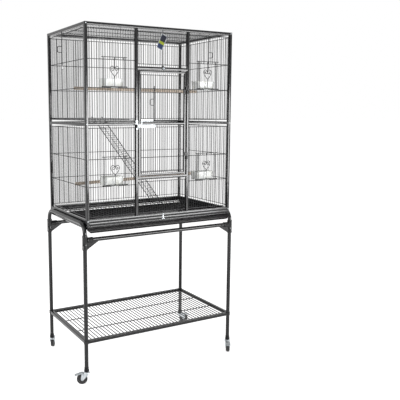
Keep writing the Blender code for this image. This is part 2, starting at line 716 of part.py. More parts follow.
def feeder_door(name, side, z_low, z_high, black):
    """A lift-up wire door: two bars, double side wires and a heart scroll, hooked on the guide wires."""
    x = feeder_middle(side)
    span = FEEDER_COUNT * PITCH / 2
    half = FEEDER_BAR / 2
    low = z_low + CROSS / 2 + GAP + half
    high = z_high + FEEDER_RISE
    y = feeder_y()
    back = y + CROSS / 2
    grip = span + CROSS / 2 + GAP
    hook = CROSS * 0.6
    bars = bmesh.new()
    box(bars, (x - grip - hook, y - CROSS / 2, high - CROSS / 2), (x + grip + hook, back, high + CROSS / 2))
    box(bars, (x - grip - hook, back - FEEDER_BAR, low - half), (x + grip + hook, back, low + half))
    wires = bmesh.new()
    for offset in (span - CROSS, span - CROSS * 3.5):
        for sign in (-1, 1):
            wire(wires, (x + sign * offset, y, low), (x + sign * offset, y, high))
    tip = low + HEART_UP
    wire(wires, (x, y, low), (x, y, tip + CROSS / 4))
    wire(wires, (x, y, tip + HEART_H * 0.78 - CROSS / 4), (x, y, high))
    scroll = bmesh.new()
    bent(scroll, [(x + a, y, tip + c) for a, c in heart(HEART_W, HEART_H)], CROSS * 0.6, 3, True)
    hooks = bmesh.new()
    behind = -CAGE_Y + CROSS / 2 + GAP
    for sign in (-1, 1):
        outline = [(grip, y), (grip + hook, y), (grip + hook, behind + CROSS * 0.4),
                   (span - CROSS / 4, behind + CROSS * 0.4), (span - CROSS / 4, behind), (grip, behind)]
        prism(hooks, [(x + sign * a, b) for a, b in outline], 2, high - CROSS * 0.3, high + CROSS * 0.3)
    piece(name, welded(bars, wires, scroll, hooks), black, (x, y, low))


def cup(name, side, z_low, white):
    """A seed cup with tapered walls. A tongue hangs it on the lower bar of its opening."""
    x = feeder_middle(side)
    wide = FEEDER_COUNT * PITCH / 2 - CROSS / 2 - CUP_SIDE
    front = -CAGE_Y + SHIFT + CROSS / 2 + GAP * 2
    floor_z = z_low + CROSS / 2 + GAP
    top = floor_z + CUP_H
    loops = [
        (wide - CUP_DRAFT, front + CUP_DRAFT, front + CUP_D - CUP_DRAFT, floor_z),
        (wide, front, front + CUP_D, top),
        (wide - CUP_WALL, front + CUP_WALL, front + CUP_D - CUP_WALL, top),
        (wide - CUP_DRAFT - CUP_WALL, front + CUP_DRAFT + CUP_WALL,
         front + CUP_D - CUP_DRAFT - CUP_WALL, floor_z + CUP_WALL)]
    shape = bmesh.new()
    rings = [[shape.verts.new(corner) for corner in
              ((x - w, y0, z), (x + w, y0, z), (x + w, y1, z), (x - w, y1, z))] for w, y0, y1, z in loops]
    shape.faces.new(rings[0])
    shape.faces.new(rings[-1])
    for ring, following in zip(rings, rings[1:]):
        for k in range(4):
            n = (k + 1) % 4
            shape.faces.new((ring[k], ring[n], following[n], following[k]))
    tongue = bmesh.new()
    hang = -CAGE_Y - CROSS / 2 - GAP
    under = z_low + CROSS / 2 + GAP / 2
    outline = [(front + CUP_DRAFT * 1.5, under + GAP / 2), (hang, under + GAP / 2), (hang, z_low),
               (hang - TONGUE_T, z_low), (hang - TONGUE_T, under + CUP_WALL),
               (front + CUP_DRAFT * 1.5, under + CUP_WALL)]
    prism(tongue, outline, 0, x - wide / 3, x + wide / 3)
    piece(name, welded(shape, tongue), white)


# Perches, platform, ladder and tag

def perch(name, cross_z, wood):
    """A round wooden perch. Each end is half cut away and rests on the cross wire of an end wall."""
    z = cross_z + CROSS / 2 + GAP
    wall = CAGE_X - WIRE_R - GAP
    slope = (PERCH_RIGHT_Y - PERCH_LEFT_Y) / (2 * CAGE_X)
    middle_y = (PERCH_LEFT_Y + PERCH_RIGHT_Y) / 2
    trim = PERCH_R * abs(slope) + GAP
    ends = [(sign * (wall - trim), middle_y + sign * (wall - trim) * slope, z) for sign in (-1, 1)]
    shape = shape_of(rod, ends[0], ends[1], PERCH_R, 12, math.pi / 12)
    notches = bmesh.new()
    inner = CAGE_X - SHIFT - CROSS / 2 - GAP * 2
    for sign in (-1, 1):
        xs = sorted((sign * inner, sign * CAGE_X))
        y = middle_y + sign * inner * slope
        box(notches, (xs[0], y - PERCH_R * 2, z - PERCH_R * 2), (xs[1], y + PERCH_R * 2, z))
    piece(name, cut(shape, notches), wood, smooth=True)


def platform_z():
    """Underside of the platform: just above the lowest cross wires of the upper meshes."""
    return END_Z[2] + CROSS / 2 + GAP


def platform(black):
    """A wire half shelf whose hooks drop over the end wires of the front and the back mesh."""
    z0 = platform_z()
    z1 = z0 + SHELF_BAR
    x0 = -INNER_X + GAP * 3
    x1 = PLATFORM_X + SHELF_BAR / 2
    y_end = CAGE_Y - HALF - SHELF_BAR
    frame = bmesh.new()
    plate(frame, [x0, x0 + SHELF_BAR, x1 - SHELF_BAR, x1],
          [-y_end, SHELF_BAR - y_end, y_end - SHELF_BAR, y_end], -SHELF_BAR / 2, SHELF_BAR / 2,
          lambda i, k: i != 1 or k != 1)
    half = SHELF_BAR / 2
    up = bmesh.new()
    rise = half - SHELF_WIRE_R - GAP / 2
    for x in places(x0 + SHELF_BAR, x1 - SHELF_BAR * 2.2, PITCH):
        wire(up, (x, rise, half - y_end), (x, rise, y_end - half), SHELF_WIRE_R)
    across = bmesh.new()
    for y in (-y_end / 3, y_end / 3):
        wire(across, (x0 + half, -rise, y), (x1 - half, -rise, y), SHELF_WIRE_R)
    shape = welded(frame, up, across)
    laid = Matrix.Translation((0, 0, z0 + half)) @ Matrix.Rotation(math.pi / 2, 4, "X")
    shape = moved(shape, laid)
    hooks = bmesh.new()
    over = CAGE_Y + CROSS / 2 + GAP
    wires = {-1: places(*bay("left"), PITCH), 1: places(-INNER_X, INNER_X, PITCH)}
    for near in (x0 + PITCH * 2, x1 - PITCH * 2):
        for sign in (-1, 1):
            x = between(wires[sign], near)
            outline = [(sign * (y_end - half), z0), (sign * over, z0), (sign * over, z0 - CROSS),
                       (sign * (over + CROSS / 2), z0 - CROSS), (sign * (over + CROSS / 2), z1 - half),
                       (sign * (y_end - half), z1 - half)]
            prism(hooks, outline, 0, x - CROSS / 2, x + CROSS / 2)
    piece("platform", welded(shape, hooks), black)


def ladder(black):
    """Two rails hooked over the inner bar of the platform, and close rungs, down to the grate."""
    pivot = Vector((PLATFORM_X, 0, platform_z() + SHELF_BAR / 2))
    tilt = math.radians(LADDER_TILT)
    down = Vector((math.cos(tilt), 0, -math.sin(tilt)))
    out = Vector((math.sin(tilt), 0, math.cos(tilt)))
    hook_r = SHELF_BAR * 0.75 + GAP + LADDER_R
    drop = pivot.z - grate_top() - GAP * 2 - LADDER_R + hook_r * math.cos(tilt)
    length = drop / math.sin(tilt)
    rails = bmesh.new()
    for y in (LADDER_Y0, LADDER_Y1):
        points = []
        for step in range(4):
            turn = math.pi * (1 - step / 6)
            points.append(pivot + (down * math.cos(turn) + out * math.sin(turn)) * hook_r)
        points.append(pivot + out * hook_r + down * length)
        bent(rails, [(p.x, y, p.z) for p in points], LADDER_R * 1.2, 4)
    rungs = bmesh.new()
    count = int((length - hook_r - RUNG_STEP) / RUNG_STEP)
    for i in range(count):
        at = pivot + out * hook_r + down * (hook_r + RUNG_STEP / 2 + i * RUNG_STEP)
        wire(rungs, (at.x, LADDER_Y0, at.z), (at.x, LADDER_Y1, at.z), SHELF_WIRE_R)
    piece("ladder", welded(rails, rungs), black, (pivot.x, (LADDER_Y0 + LADDER_Y1) / 2, pivot.z))


def tag(card):
    """A plain card tag hung by its corner from the top wire of the front mesh."""
    pivot_z = END_Z[3]
    x0 = TAG_X
    y = -(CAGE_Y + CROSS + GAP * 3)
    tilt = math.atan2(TAG_W, TAG_H)
    diagonal = math.hypot(TAG_W, TAG_H) / 2
    centre = Vector((x0, y, pivot_z - CROSS * 3 - diagonal * 0.86))
    place = Matrix.Translation(centre) @ Matrix.Rotation(tilt, 4, "Y")
    body = moved(shape_of(box, (-TAG_W / 2, -TAG_T / 2, -TAG_H / 2), (TAG_W / 2, TAG_T / 2, TAG_H / 2)), place)
    loop = bmesh.new()
    inner = CROSS / 2 + GAP * 2
    outer = inner + CROSS / 2
    low = pivot_z - CROSS * 4
    outline = [(y - TAG_T / 4, low), (y - TAG_T / 4, pivot_z + outer), (-CAGE_Y + outer, pivot_z + outer),
               (-CAGE_Y + outer, pivot_z - inner), (-CAGE_Y + inner, pivot_z - inner),
               (-CAGE_Y + inner, pivot_z + inner), (y + TAG_T / 4, pivot_z + inner), (y + TAG_T / 4, low)]
    prism(loop, outline, 0, x0 - CROSS / 4, x0 + CROSS / 4)
    piece("hang_tag", welded(body, loop), card, (x0, -CAGE_Y, pivot_z))


# Base with its runners, tray and grate

def ledge_top(level):
    """Top of the upper ledge (0), which carries the grate, or of the lower one (1), under the tray rim."""
    return BASE_Z - GAP * 6 - SHELF_BAR - GAP - level * (RUNNER_T + RIM + GAP * 12)


def grate_top():
    """Top of the grate's bars."""
    return ledge_top(0) + GAP + SHELF_BAR


def base_frame(black):
    """Square tube frame with a two-ledge runner under each side rail."""
    frame = bmesh.new()
    plate(frame, [-CAGE_X - HALF, HALF - CAGE_X, CAGE_X - HALF, CAGE_X + HALF],
          [-CAGE_Y - HALF, HALF - CAGE_Y, CAGE_Y - HALF, CAGE_Y + HALF], -BASE_H / 2, BASE_H / 2,
          lambda i, k: i != 1 or k != 1)
    laid = Matrix.Translation((0, 0, BASE_Z + BASE_H / 2)) @ Matrix.Rotation(math.pi / 2, 4, "X")
    frame = moved(frame, laid)
    runners = bmesh.new()
    outer = CAGE_X + HALF - GAP * 2
    web = outer - RUNNER_T
    tip = web - LEDGE
    for sign in (-1, 1):
        outline = [(outer, BASE_Z + BASE_H / 3), (outer, ledge_top(1) - RUNNER_T), (tip, ledge_top(1) - RUNNER_T),
                   (tip, ledge_top(1)), (web, ledge_top(1)), (web, ledge_top(0) - RUNNER_T),
                   (tip, ledge_top(0) - RUNNER_T), (tip, ledge_top(0)), (web, ledge_top(0)),
                   (web, BASE_Z + BASE_H / 3)]
        prism(runners, [(sign * a, b) for a, b in outline], 1, GAP - CAGE_Y, CAGE_Y - GAP)
    piece("base_frame", welded(frame, runners), black)


def tray(gloss):
    """Waste tray: a pan with drawn-in lower edges, a rim on the lower ledges and a rolled front lip."""
    rim_x = CAGE_X + HALF - GAP * 2 - RUNNER_T - GAP * 2
    wall_x = rim_x - LEDGE - GAP
    rim_z = ledge_top(1) + GAP
    floor_z = rim_z + RIM - TRAY_DEPTH
    front = -CAGE_Y - HALF - GAP * 2
    back = CAGE_Y - GAP * 4
    side = TRAY_CHAMFER
    loops = [
        (wall_x - side, front + side, back - side, floor_z),
        (wall_x, front, back, floor_z + side * 0.8),
        (wall_x, front, back, rim_z),
        (rim_x, front, back + RIM, rim_z),
        (rim_x, front, back + RIM, rim_z + RIM),
        (wall_x - TRAY_WALL, front + TRAY_WALL, back - TRAY_WALL, rim_z + RIM),
        (wall_x - TRAY_WALL, front + TRAY_WALL, back - TRAY_WALL, floor_z + side * 0.8 + TRAY_WALL / 2),
        (wall_x - side - TRAY_WALL / 2, front + side + TRAY_WALL / 2, back - side - TRAY_WALL / 2,
         floor_z + TRAY_WALL)]
    shape = bmesh.new()
    rings = [[shape.verts.new(corner) for corner in
              ((-w, y0, z), (w, y0, z), (w, y1, z), (-w, y1, z))] for w, y0, y1, z in loops]
    shape.faces.new(rings[0])
    shape.faces.new(rings[-1])
    for ring, following in zip(rings, rings[1:]):
        for k in range(4):
            n = (k + 1) % 4
            shape.faces.new((ring[k], ring[n], following[n], following[k]))
    bmesh.ops.remove_doubles(shape, verts=shape.verts, dist=0.000001)
    lip_x = CAGE_X + HALF - GAP * 2
    top = ledge_top(0) - RUNNER_T
    low = top - LIP_H
    face = front - TRAY_WALL
    roll = [(front + GAP, low + GAP * 8), (face, low + GAP * 8), (face - LIP_T * 0.45, low + LIP_H * 0.25),
            (face - LIP_T * 0.45, low + LIP_H * 0.5), (face - LIP_T * 0.25, low + LIP_H * 0.68),
            (face - LIP_T * 0.45, top - LIP_T * 0.75), (face - LIP_T * 0.8, top - LIP_T * 0.45),
            (face - LIP_T * 0.65, top - LIP_T * 0.1), (face - LIP_T * 0.25, top), (front + GAP, top)]
    lip = shape_of(prism, roll, 0, -lip_x, lip_x)
    corners = bmesh.new()
    for sign in (-1, 1):
        wedge = [(sign * (lip_x + side), low - side), (sign * (lip_x - side * 1.2), low - side),
                 (sign * (lip_x - side * 1.2), low), (sign * (lip_x + GAP), low + side * 0.9),
                 (sign * (lip_x + side), low + side * 0.9)]
        prism(corners, wedge, 1, front - LIP_T * 3, front + LIP_T)
    piece("waste_tray", welded(shape, cut(lip, corners)), gloss)


def grate(black):
    """Floor grate: a square bar frame with wires front to back, on the upper ledges."""
    x_end = CAGE_X + HALF - GAP * 2 - RUNNER_T - GAP * 2
    y_low = -CAGE_Y - HALF + GAP
    y_high = CAGE_Y - GAP * 4
    middle = (y_low + y_high) / 2
    half_y = (y_high - y_low) / 2
    half = SHELF_BAR / 2
    frame = bmesh.new()
    plate(frame, [-x_end, SHELF_BAR - x_end, x_end - SHELF_BAR, x_end],
          [-half_y, SHELF_BAR - half_y, half_y - SHELF_BAR, half_y], -half, half,
          lambda i, k: i != 1 or k != 1)
    up = bmesh.new()
    rise = half - SHELF_WIRE_R - GAP / 2
    for x in places(SHELF_BAR - x_end, x_end - SHELF_BAR, GRATE_PITCH):
        wire(up, (x, rise, half - half_y), (x, rise, half_y - half), SHELF_WIRE_R)
    across = bmesh.new()
    for y in (-half_y / 2, 0, half_y / 2):
        wire(across, (half - x_end, -rise, y), (x_end - half, -rise, y), SHELF_WIRE_R)
    shape = welded(frame, up, across)
    laid = Matrix.Translation((0, middle, grate_top() - half)) @ Matrix.Rotation(math.pi / 2, 4, "X")
    piece("floor_grate", moved(shape, laid), black)


# Stand

def leg_frames(black):
    """Each end of the stand is one tube, bent over at the top, with a bore in each foot."""
    for side, sign in SIDES.items():
        x = sign * LEG_X
        points = [(x, -LEG_Y, LEG_FOOT_Z)]
        for centre_y, start in ((BEND_R - LEG_Y, math.pi), (LEG_Y - BEND_R, math.pi / 2)):
            for step in range(4):
                turn = start - step / 3 * math.pi / 2
                points.append((x, centre_y + BEND_R * math.cos(turn),
                               LEG_TOP_Z - BEND_R + BEND_R * math.sin(turn)))
        points.append((x, LEG_Y, LEG_FOOT_Z))
        tube = bmesh.new()
        bent(tube, points, LEG_R, LEG_SIDES)
        bores = bmesh.new()
        for y in (-LEG_Y, LEG_Y):
            rod(bores, (x, y, LEG_FOOT_Z - GAP * 4), (x, y, LEG_FOOT_Z + STEM_L), STEM_R + GAP * 2, 8)
        piece("leg_frame_" + side, cut(tube, bores), black, smooth=True)


def cross_rails(black):
    """The front and the back rail of the stand."""
    end = LEG_X - LEG_R - GAP - SLEEVE_T - GAP
    for name, y in (("front", -LEG_Y), ("back", LEG_Y)):
        shape = shape_of(rod, (-end, y, RAIL_Z), (end, y, RAIL_Z), LEG_R, LEG_SIDES)
        piece("cross_rail_" + name, shape, black, smooth=True)


def corner_brackets(black):
    """A sleeve round the leg, a socket for the rail and a web between them."""
    inner = LEG_R + GAP
    outer = inner + SLEEVE_T
    turn = math.pi / LEG_SIDES
    for name, (sx, sy) in CORNERS.items():
        x = sx * LEG_X
        y = sy * LEG_Y
        top = SLEEVE_LOW_Z + SLEEVE_H
        sleeve = shape_of(rod, (x, y, SLEEVE_LOW_Z), (x, y, top), outer, LEG_SIDES, turn)
        socket = shape_of(rod, (x - sx * inner, y, RAIL_Z), (x - sx * (outer + SOCKET_L), y, RAIL_Z), outer, LEG_SIDES)
        inside = x - sx * LEG_R
        outline = [(inside - sx * SLEEVE_T, SLEEVE_LOW_Z), (inside - sx * WEB, RAIL_Z - LEG_R),
                   (inside - sx * WEB, RAIL_Z), (inside - sx * SLEEVE_T, RAIL_Z)]
        web = shape_of(prism, outline, 1, y - WEB_T / 2, y + WEB_T / 2)
        bore = shape_of(rod, (x, y, SLEEVE_LOW_Z - GAP), (x, y, top + GAP), inner, LEG_SIDES, turn)
        along = shape_of(rod, (x - sx * outer, y, RAIL_Z), (x - sx * WEB * 2, y, RAIL_Z), inner, LEG_SIDES)
        shape = cut(welded(sleeve, socket, web), bore, along)
        piece("corner_bracket_" + name, shape, black, smooth=True)


def storage_shelf(black):
    """Low shelf: square tube round the legs, close wires front to back and two long ones."""
    half = SHELF_TUBE / 2
    frame = bmesh.new()
    plate(frame, [-LEG_X - half, half - LEG_X, LEG_X - half, LEG_X + half],
          [-LEG_Y - half, half - LEG_Y, LEG_Y - half, LEG_Y + half], -half, half,
          lambda i, k: i != 1 or k != 1)
    up = bmesh.new()
    uprights(up, places(half - LEG_X, LEG_X - half, SHELF_PITCH), half / 2 - LEG_Y, LEG_Y - half / 2)
    across = bmesh.new()
    for y in (-LEG_Y / 3, LEG_Y / 3):
        low = -WIRE_R * 2 - GAP
        wire(across, (half / 2 - LEG_X, low, y), (LEG_X - half / 2, low, y))
    laid = Matrix.Translation((0, 0, SHELF_Z)) @ Matrix.Rotation(math.pi / 2, 4, "X")
    shape = moved(welded(frame, up, across), laid)
    holes = bmesh.new()
    corners = bmesh.new()
    for sx, sy in CORNERS.values():
        x = sx * LEG_X
        y = sy * LEG_Y
        rod(holes, (x, y, SHELF_Z - half * 2), (x, y, SHELF_Z + half * 2), LEG_R + GAP, LEG_SIDES, math.pi / LEG_SIDES)
        ends = (sorted((x + sx * half / 2, x + sx * half * 1.5)), sorted((y + sy * half / 2, y + sy * half * 1.5)))
        box(corners, (ends[0][0], ends[1][0], SHELF_Z - half * 2), (ends[0][1], ends[1][1], SHELF_Z + half * 2))
    piece("storage_shelf", cut(shape, holes, corners), black)


# Casters

def casters(black, zinc, rubber, plastic):
    """Four swivel casters: collar, fork with its stem and axle, wheel and brake pedal."""
    for name, (sx, sy) in CORNERS.items():
        x = sx * LEG_X
        y = sy * LEG_Y
        turn = Matrix.Rotation(math.radians(CASTER_TURN[name]), 4, "Z")
        foot = Matrix.Translation((x, y, 0))
        collar(name, foot @ Matrix.Rotation(math.pi / 2 + math.pi / LEG_SIDES, 4, "Z"), plastic)
        fork(name, foot @ turn, zinc)
        wheel(name, foot @ turn, rubber)
        brake(name, foot @ turn, zinc)


def collar(name, place, plastic):
    """Black collar round the foot of the leg."""
    low = LEG_FOOT_Z - COLLAR_DOWN
    top = LEG_FOOT_Z + COLLAR_UP
    inner = LEG_R + GAP
    hole = STEM_R + GAP * 2
    profile = [(hole, low), (COLLAR_R, low), (COLLAR_R, top), (inner, top),
               (inner, LEG_FOOT_Z - GAP), (hole, LEG_FOOT_Z - GAP)]
    piece("caster_collar_" + name, shape_of(lathe, profile, LEG_SIDES, place), plastic, smooth=True)


def cheek_top():
    """Top edge of the cheeks of a fork, just inside its cap."""
    return CAP_Z + GAP * 4


def fork(name, place, zinc):
    """Zinc fork: stem, swivel cap, two cheeks and the axle. It trails towards its own +X."""
    stem_top = LEG_FOOT_Z + STEM_L - GAP * 4
    profile = [(0, CAP_Z), (CAP_R, CAP_Z), (CAP_R * 0.85, CAP_Z + CAP_H * 0.7), (STEM_R, CAP_Z + CAP_H),
               (STEM_R, stem_top), (0, stem_top)]
    body = shape_of(lathe, profile, 8, Matrix.Identity(4))
    inside = WHEEL_W / 2 + GAP * 3
    outside = inside + FORK_T
    outline = [(-CAP_R * 0.7, cheek_top()), (-CAP_R * 0.3, CAP_Z - CAP_R * 0.4),
               (TRAIL - AXLE_R * 1.5, WHEEL_R - AXLE_R * 2), (TRAIL + AXLE_R * 1.5, WHEEL_R - AXLE_R * 2),
               (TRAIL + AXLE_R, cheek_top())]
    cheeks = bmesh.new()
    for low, high in ((-outside, -inside), (inside, outside)):
        prism(cheeks, outline, 1, low, high)
    reach = inside + FORK_T / 2
    axle = shape_of(rod, (TRAIL, -reach, WHEEL_R), (TRAIL, reach, WHEEL_R), AXLE_R, 6)
    shape = moved(welded(body, cheeks, axle), place)
    piece("caster_fork_" + name, shape, zinc, place @ Vector((0, 0, CAP_Z)))


def wheel(name, place, rubber):
    """Wheel with a rounded tread and a bore."""
    half = WHEEL_W / 2
    hole = AXLE_R + GAP * 2
    profile = [(hole, -half), (WHEEL_R * 0.8, -half), (WHEEL_R, -half * 0.6),
               (WHEEL_R, half * 0.6), (WHEEL_R * 0.8, half), (hole, half)]
    centre = Matrix.Translation((TRAIL, 0, WHEEL_R)) @ Matrix.Rotation(math.pi / 2, 4, "X")
    shape = shape_of(lathe, profile, 16, place @ centre)
    piece("caster_wheel_" + name, shape, rubber, place @ Vector((TRAIL, 0, WHEEL_R)), True)


def brake(name, place, zinc):
    """Brake pedal: a bent plate that tips on the top edges of the cheeks, just behind the cap."""
    wide = WHEEL_W / 2 + GAP * 3 + FORK_T
    thick = FORK_T * 0.8
    low = cheek_top() + GAP
    start = CAP_R + GAP * 2
    knee = TRAIL + AXLE_R * 2
    tail = WHEEL_R * 2 + thick * 2
    drop = WHEEL_R * 0.35
    outline = [(start, low), (knee, low), (tail, low - drop), (tail + thick, low - drop + thick),
               (knee + thick, low + thick), (start, low + thick)]
    shape = moved(shape_of(prism, outline, 1, -wide, wide), place)
    piece("caster_brake_" + name, shape, zinc, place @ Vector((start + GAP, 0, low + thick / 2)))


def main():
    clear_scene()
    black = paint("hammertone_powder_coat", (0.035, 0.036, 0.040), 0.42, 0.35)
    gloss = paint("glossy_black_plastic", (0.012, 0.011, 0.014), 0.22)
    zinc = paint("bright_zinc", (0.75, 0.76, 0.76), 0.25, 1.0)
    plastic = paint("black_plastic", (0.02, 0.02, 0.02), 0.5)
    rubber = paint("black_wheel", (0.015, 0.015, 0.016), 0.45)
    white = paint("white_plastic", (0.85, 0.86, 0.86), 0.35)
    wood = paint("pale_dowel", (0.62, 0.44, 0.30), 0.6)
    card = paint("printed_card", (0.03, 0.04, 0.13), 0.4)

    leg_frames(black)
    cross_rails(black)
    corner_brackets(black)
    storage_shelf(black)
    casters(black, zinc, rubber, plastic)
    base_frame(black)
    tray(gloss)
    grate(black)
    front_frame(black)
    for side in SIDES:
        side_panel(side, black)
        for level in LEVELS:
            bay_mesh(side, level, black)
    centre_mesh("header_mesh", HEADER_Z + HALF, TOP_Z - TUBE, black, True)
    centre_mesh("sill_mesh", CAGE_Z + TUBE, SILL_Z - HALF, black)
    back_panel(black)
    roof_panel(black)
    door(black)
    latch(zinc, plastic)
    slide_rods(black)
    for side in SIDES:
        for level, (_, _, z_low, z_high) in LEVELS.items():
            feeder_door(f"feeder_door_{level}_{side}", side, z_low, z_high, black)
            cup(f"cup_{level}_{side}", side, z_low, white)
    perch("perch_upper", W2_Z, wood)
    perch("perch_lower", W5_Z, wood)
    platform(black)
    ladder(black)
    tag(card)


if __name__ == "__main__":
    main()
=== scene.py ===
"""Parrot flight cage on a rolling stand: the dressed model, the studio and the camera.

Frame: +X to the right along the long front, +Y to the back, +Z up, metres. The origin is on the
floor under the middle of the cage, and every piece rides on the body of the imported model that
carries it.
"""

import logging
import math
from dataclasses import dataclass
from enum import Enum
from functools import partial
from typing import Any, Callable, Sequence

import bmesh
import bpy
from mathutils import Matrix, Vector


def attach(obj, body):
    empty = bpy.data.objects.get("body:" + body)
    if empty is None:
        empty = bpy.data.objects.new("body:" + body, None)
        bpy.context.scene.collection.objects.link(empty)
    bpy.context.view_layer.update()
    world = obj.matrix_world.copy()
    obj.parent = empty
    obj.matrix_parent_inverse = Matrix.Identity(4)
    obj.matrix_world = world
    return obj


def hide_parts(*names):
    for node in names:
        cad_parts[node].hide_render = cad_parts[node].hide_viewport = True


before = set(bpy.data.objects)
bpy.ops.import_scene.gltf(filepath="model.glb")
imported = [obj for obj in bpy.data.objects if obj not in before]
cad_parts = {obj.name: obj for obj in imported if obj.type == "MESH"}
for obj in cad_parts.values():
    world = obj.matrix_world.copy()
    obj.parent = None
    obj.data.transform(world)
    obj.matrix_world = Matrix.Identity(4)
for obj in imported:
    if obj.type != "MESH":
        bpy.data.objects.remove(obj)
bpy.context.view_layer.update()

Point = Sequence[float]
Pair = tuple[float, float]
Node = bpy.types.Node
Socket = bpy.types.NodeSocket
Tree = bpy.types.NodeTree
Add = Callable[..., Node]
Inputs = tuple[tuple[str, Any], ...]
Dressing = tuple[Node, Node, Node]
log = logging.getLogger("parrot_cage")

MAIN = "cage_and_stand"
QUARTER = math.pi / 2
THIN_WIRE = 0.0012
MERGED = 0.0000005


class Place(Enum):
    """A named place on the cage."""

    @property
    def label(self) -> str:
        """The name that nodes use."""
        return self.name.lower()


class Side(Place):
    """The two ends of the cage, by the sign of X."""

    LEFT = -1
    RIGHT = 1


class Level(Place):
    """The two storeys of the cage, above and below the middle rail."""

    UPPER = 1
    LOWER = 0


class Corner(Place):
    """The corners of the stand: signs of X and Y, and the degrees that its caster is turned."""

    FRONT_LEFT = (-1, -1, 160)
    FRONT_RIGHT = (1, -1, 240)
    BACK_RIGHT = (1, 1, 340)
    BACK_LEFT = (-1, 1, 60)


# Node and colour tools

def linear(code: str) -> tuple[float, float, float, float]:
    """Turn an sRGB hex code into a linear colour.

    Args:
        code: A # and six hex digits.

    Returns:
        Linear red, green, blue and an alpha of 1.
    """
    values = [int(code[i:i + 2], 16) / 255 for i in (1, 3, 5)]
    red, green, blue = (v / 12.92 if v <= 0.04045 else ((v + 0.055) / 1.055) ** 2.4 for v in values)
    return red, green, blue, 1.0


def set_up(node: Node, settings: dict[Any, Any], links: Any) -> Node:
    """Give a node its settings and links.

    Args:
        node: The node.
        settings: Values by input name, input number or property name. A text that starts with # is
            a colour, and "stops" fills a colour ramp.
        links: Sources by input name or number, or one source for the first input. A source is a
            socket, or a node for its first output in use.

    Returns:
        The same node.
    """
    for key, value in settings.items():
        if key == "stops":
            ramp = node.color_ramp.elements
            while len(ramp) < len(value):
                ramp.new(0.5)
            for element, (position, code) in zip(ramp, value):
                element.position = position
                element.color = linear(code)
        elif isinstance(key, int) or key in node.inputs:
            colour = isinstance(value, str) and value.startswith("#")
            node.inputs[key].default_value = linear(value) if colour else value
        else:
            setattr(node, key, value)
    for key, source in (links if isinstance(links, dict) else {0: links}).items():
        if isinstance(source, Node):
            source = next(output for output in source.outputs if output.enabled)
        node.id_data.links.new(source, node.inputs[key])
    return node


def add_node(tree: Tree, kind: str, settings: dict[Any, Any] | None = None,
             links: Any = None) -> Node:
    """Add a node of a kind, such as "TexNoise", with settings and links as set_up takes them."""
    node = tree.nodes.new("ShaderNode" + kind)
    return set_up(node, settings or {}, {} if links is None else links)


# Finishes

@dataclass(frozen=True)
class Finish:
    """A surface finish, with the sizes and colours of its pattern.

    slot is its material slot in the record; nothing in this script reads it. inputs are values that
    are the same all over. rough is the least and the most roughness, reached over the range
    rough_over of its pattern. bump is the strength and the height of the relief, and wear is how
    far the wear of an edge reaches.
    """

    slot: str = ""
    inputs: Inputs = ()
    rough: Pair = (0.4, 0.6)
    rough_over: Pair = (0.0, 1.0)
    bump: Pair = (0.3, 0.0001)
    wear: float = 0.001

    def material(self) -> bpy.types.Material:
        """Get the finish as a material, made the first time it is asked for.

        Returns:
            The material, named after the finish.
        """
        name = type(self).__name__
        if name in bpy.data.materials:
            return bpy.data.materials[name]
        material = bpy.data.materials.new(name)
        material.use_nodes = True
        add = partial(add_node, material.node_tree)
        colour, dull, height = self.dress(add, add("TexCoord").outputs["Object"])
        rough = add("MapRange", {"From Min": self.rough_over[0], "From Max": self.rough_over[1],
                                 "To Min": self.rough[0], "To Max": self.rough[1]}, dull)
        relief = add("Bump", {"Strength": self.bump[0], "Distance": self.bump[1]},
                     {"Height": height})
        set_up(material.node_tree.nodes["Principled BSDF"], dict(self.inputs),
               {"Base Color": colour, "Roughness": rough, "Normal": relief})
        return material

    def dress(self, add: Add, where: Socket) -> Dressing:
        """Build the pattern of the finish, its own for each kind.

        Args:
            add: Adds a node to the material.
            where: Object coordinates, in metres.

        Returns:
            The nodes that give the colour, the roughness and the height of the relief.
        """
        raise NotImplementedError

    def edges(self, add: Add) -> Node:
        """Find the edges, where handling wears a coat first.

        Args:
            add: Adds a node to the material.

        Returns:
            A node that gives 0 on the flats and rises towards 1 along the edges.
        """
        rounded = add("Bevel", {"samples": 4, "Radius": self.wear})
        real = add("NewGeometry").outputs["Normal"]
        match = add("VectorMath", {"operation": "DOT_PRODUCT"}, {0: rounded, 1: real})
        return add("MapRange", {"From Min": 0.995, "From Max": 0.84}, match)


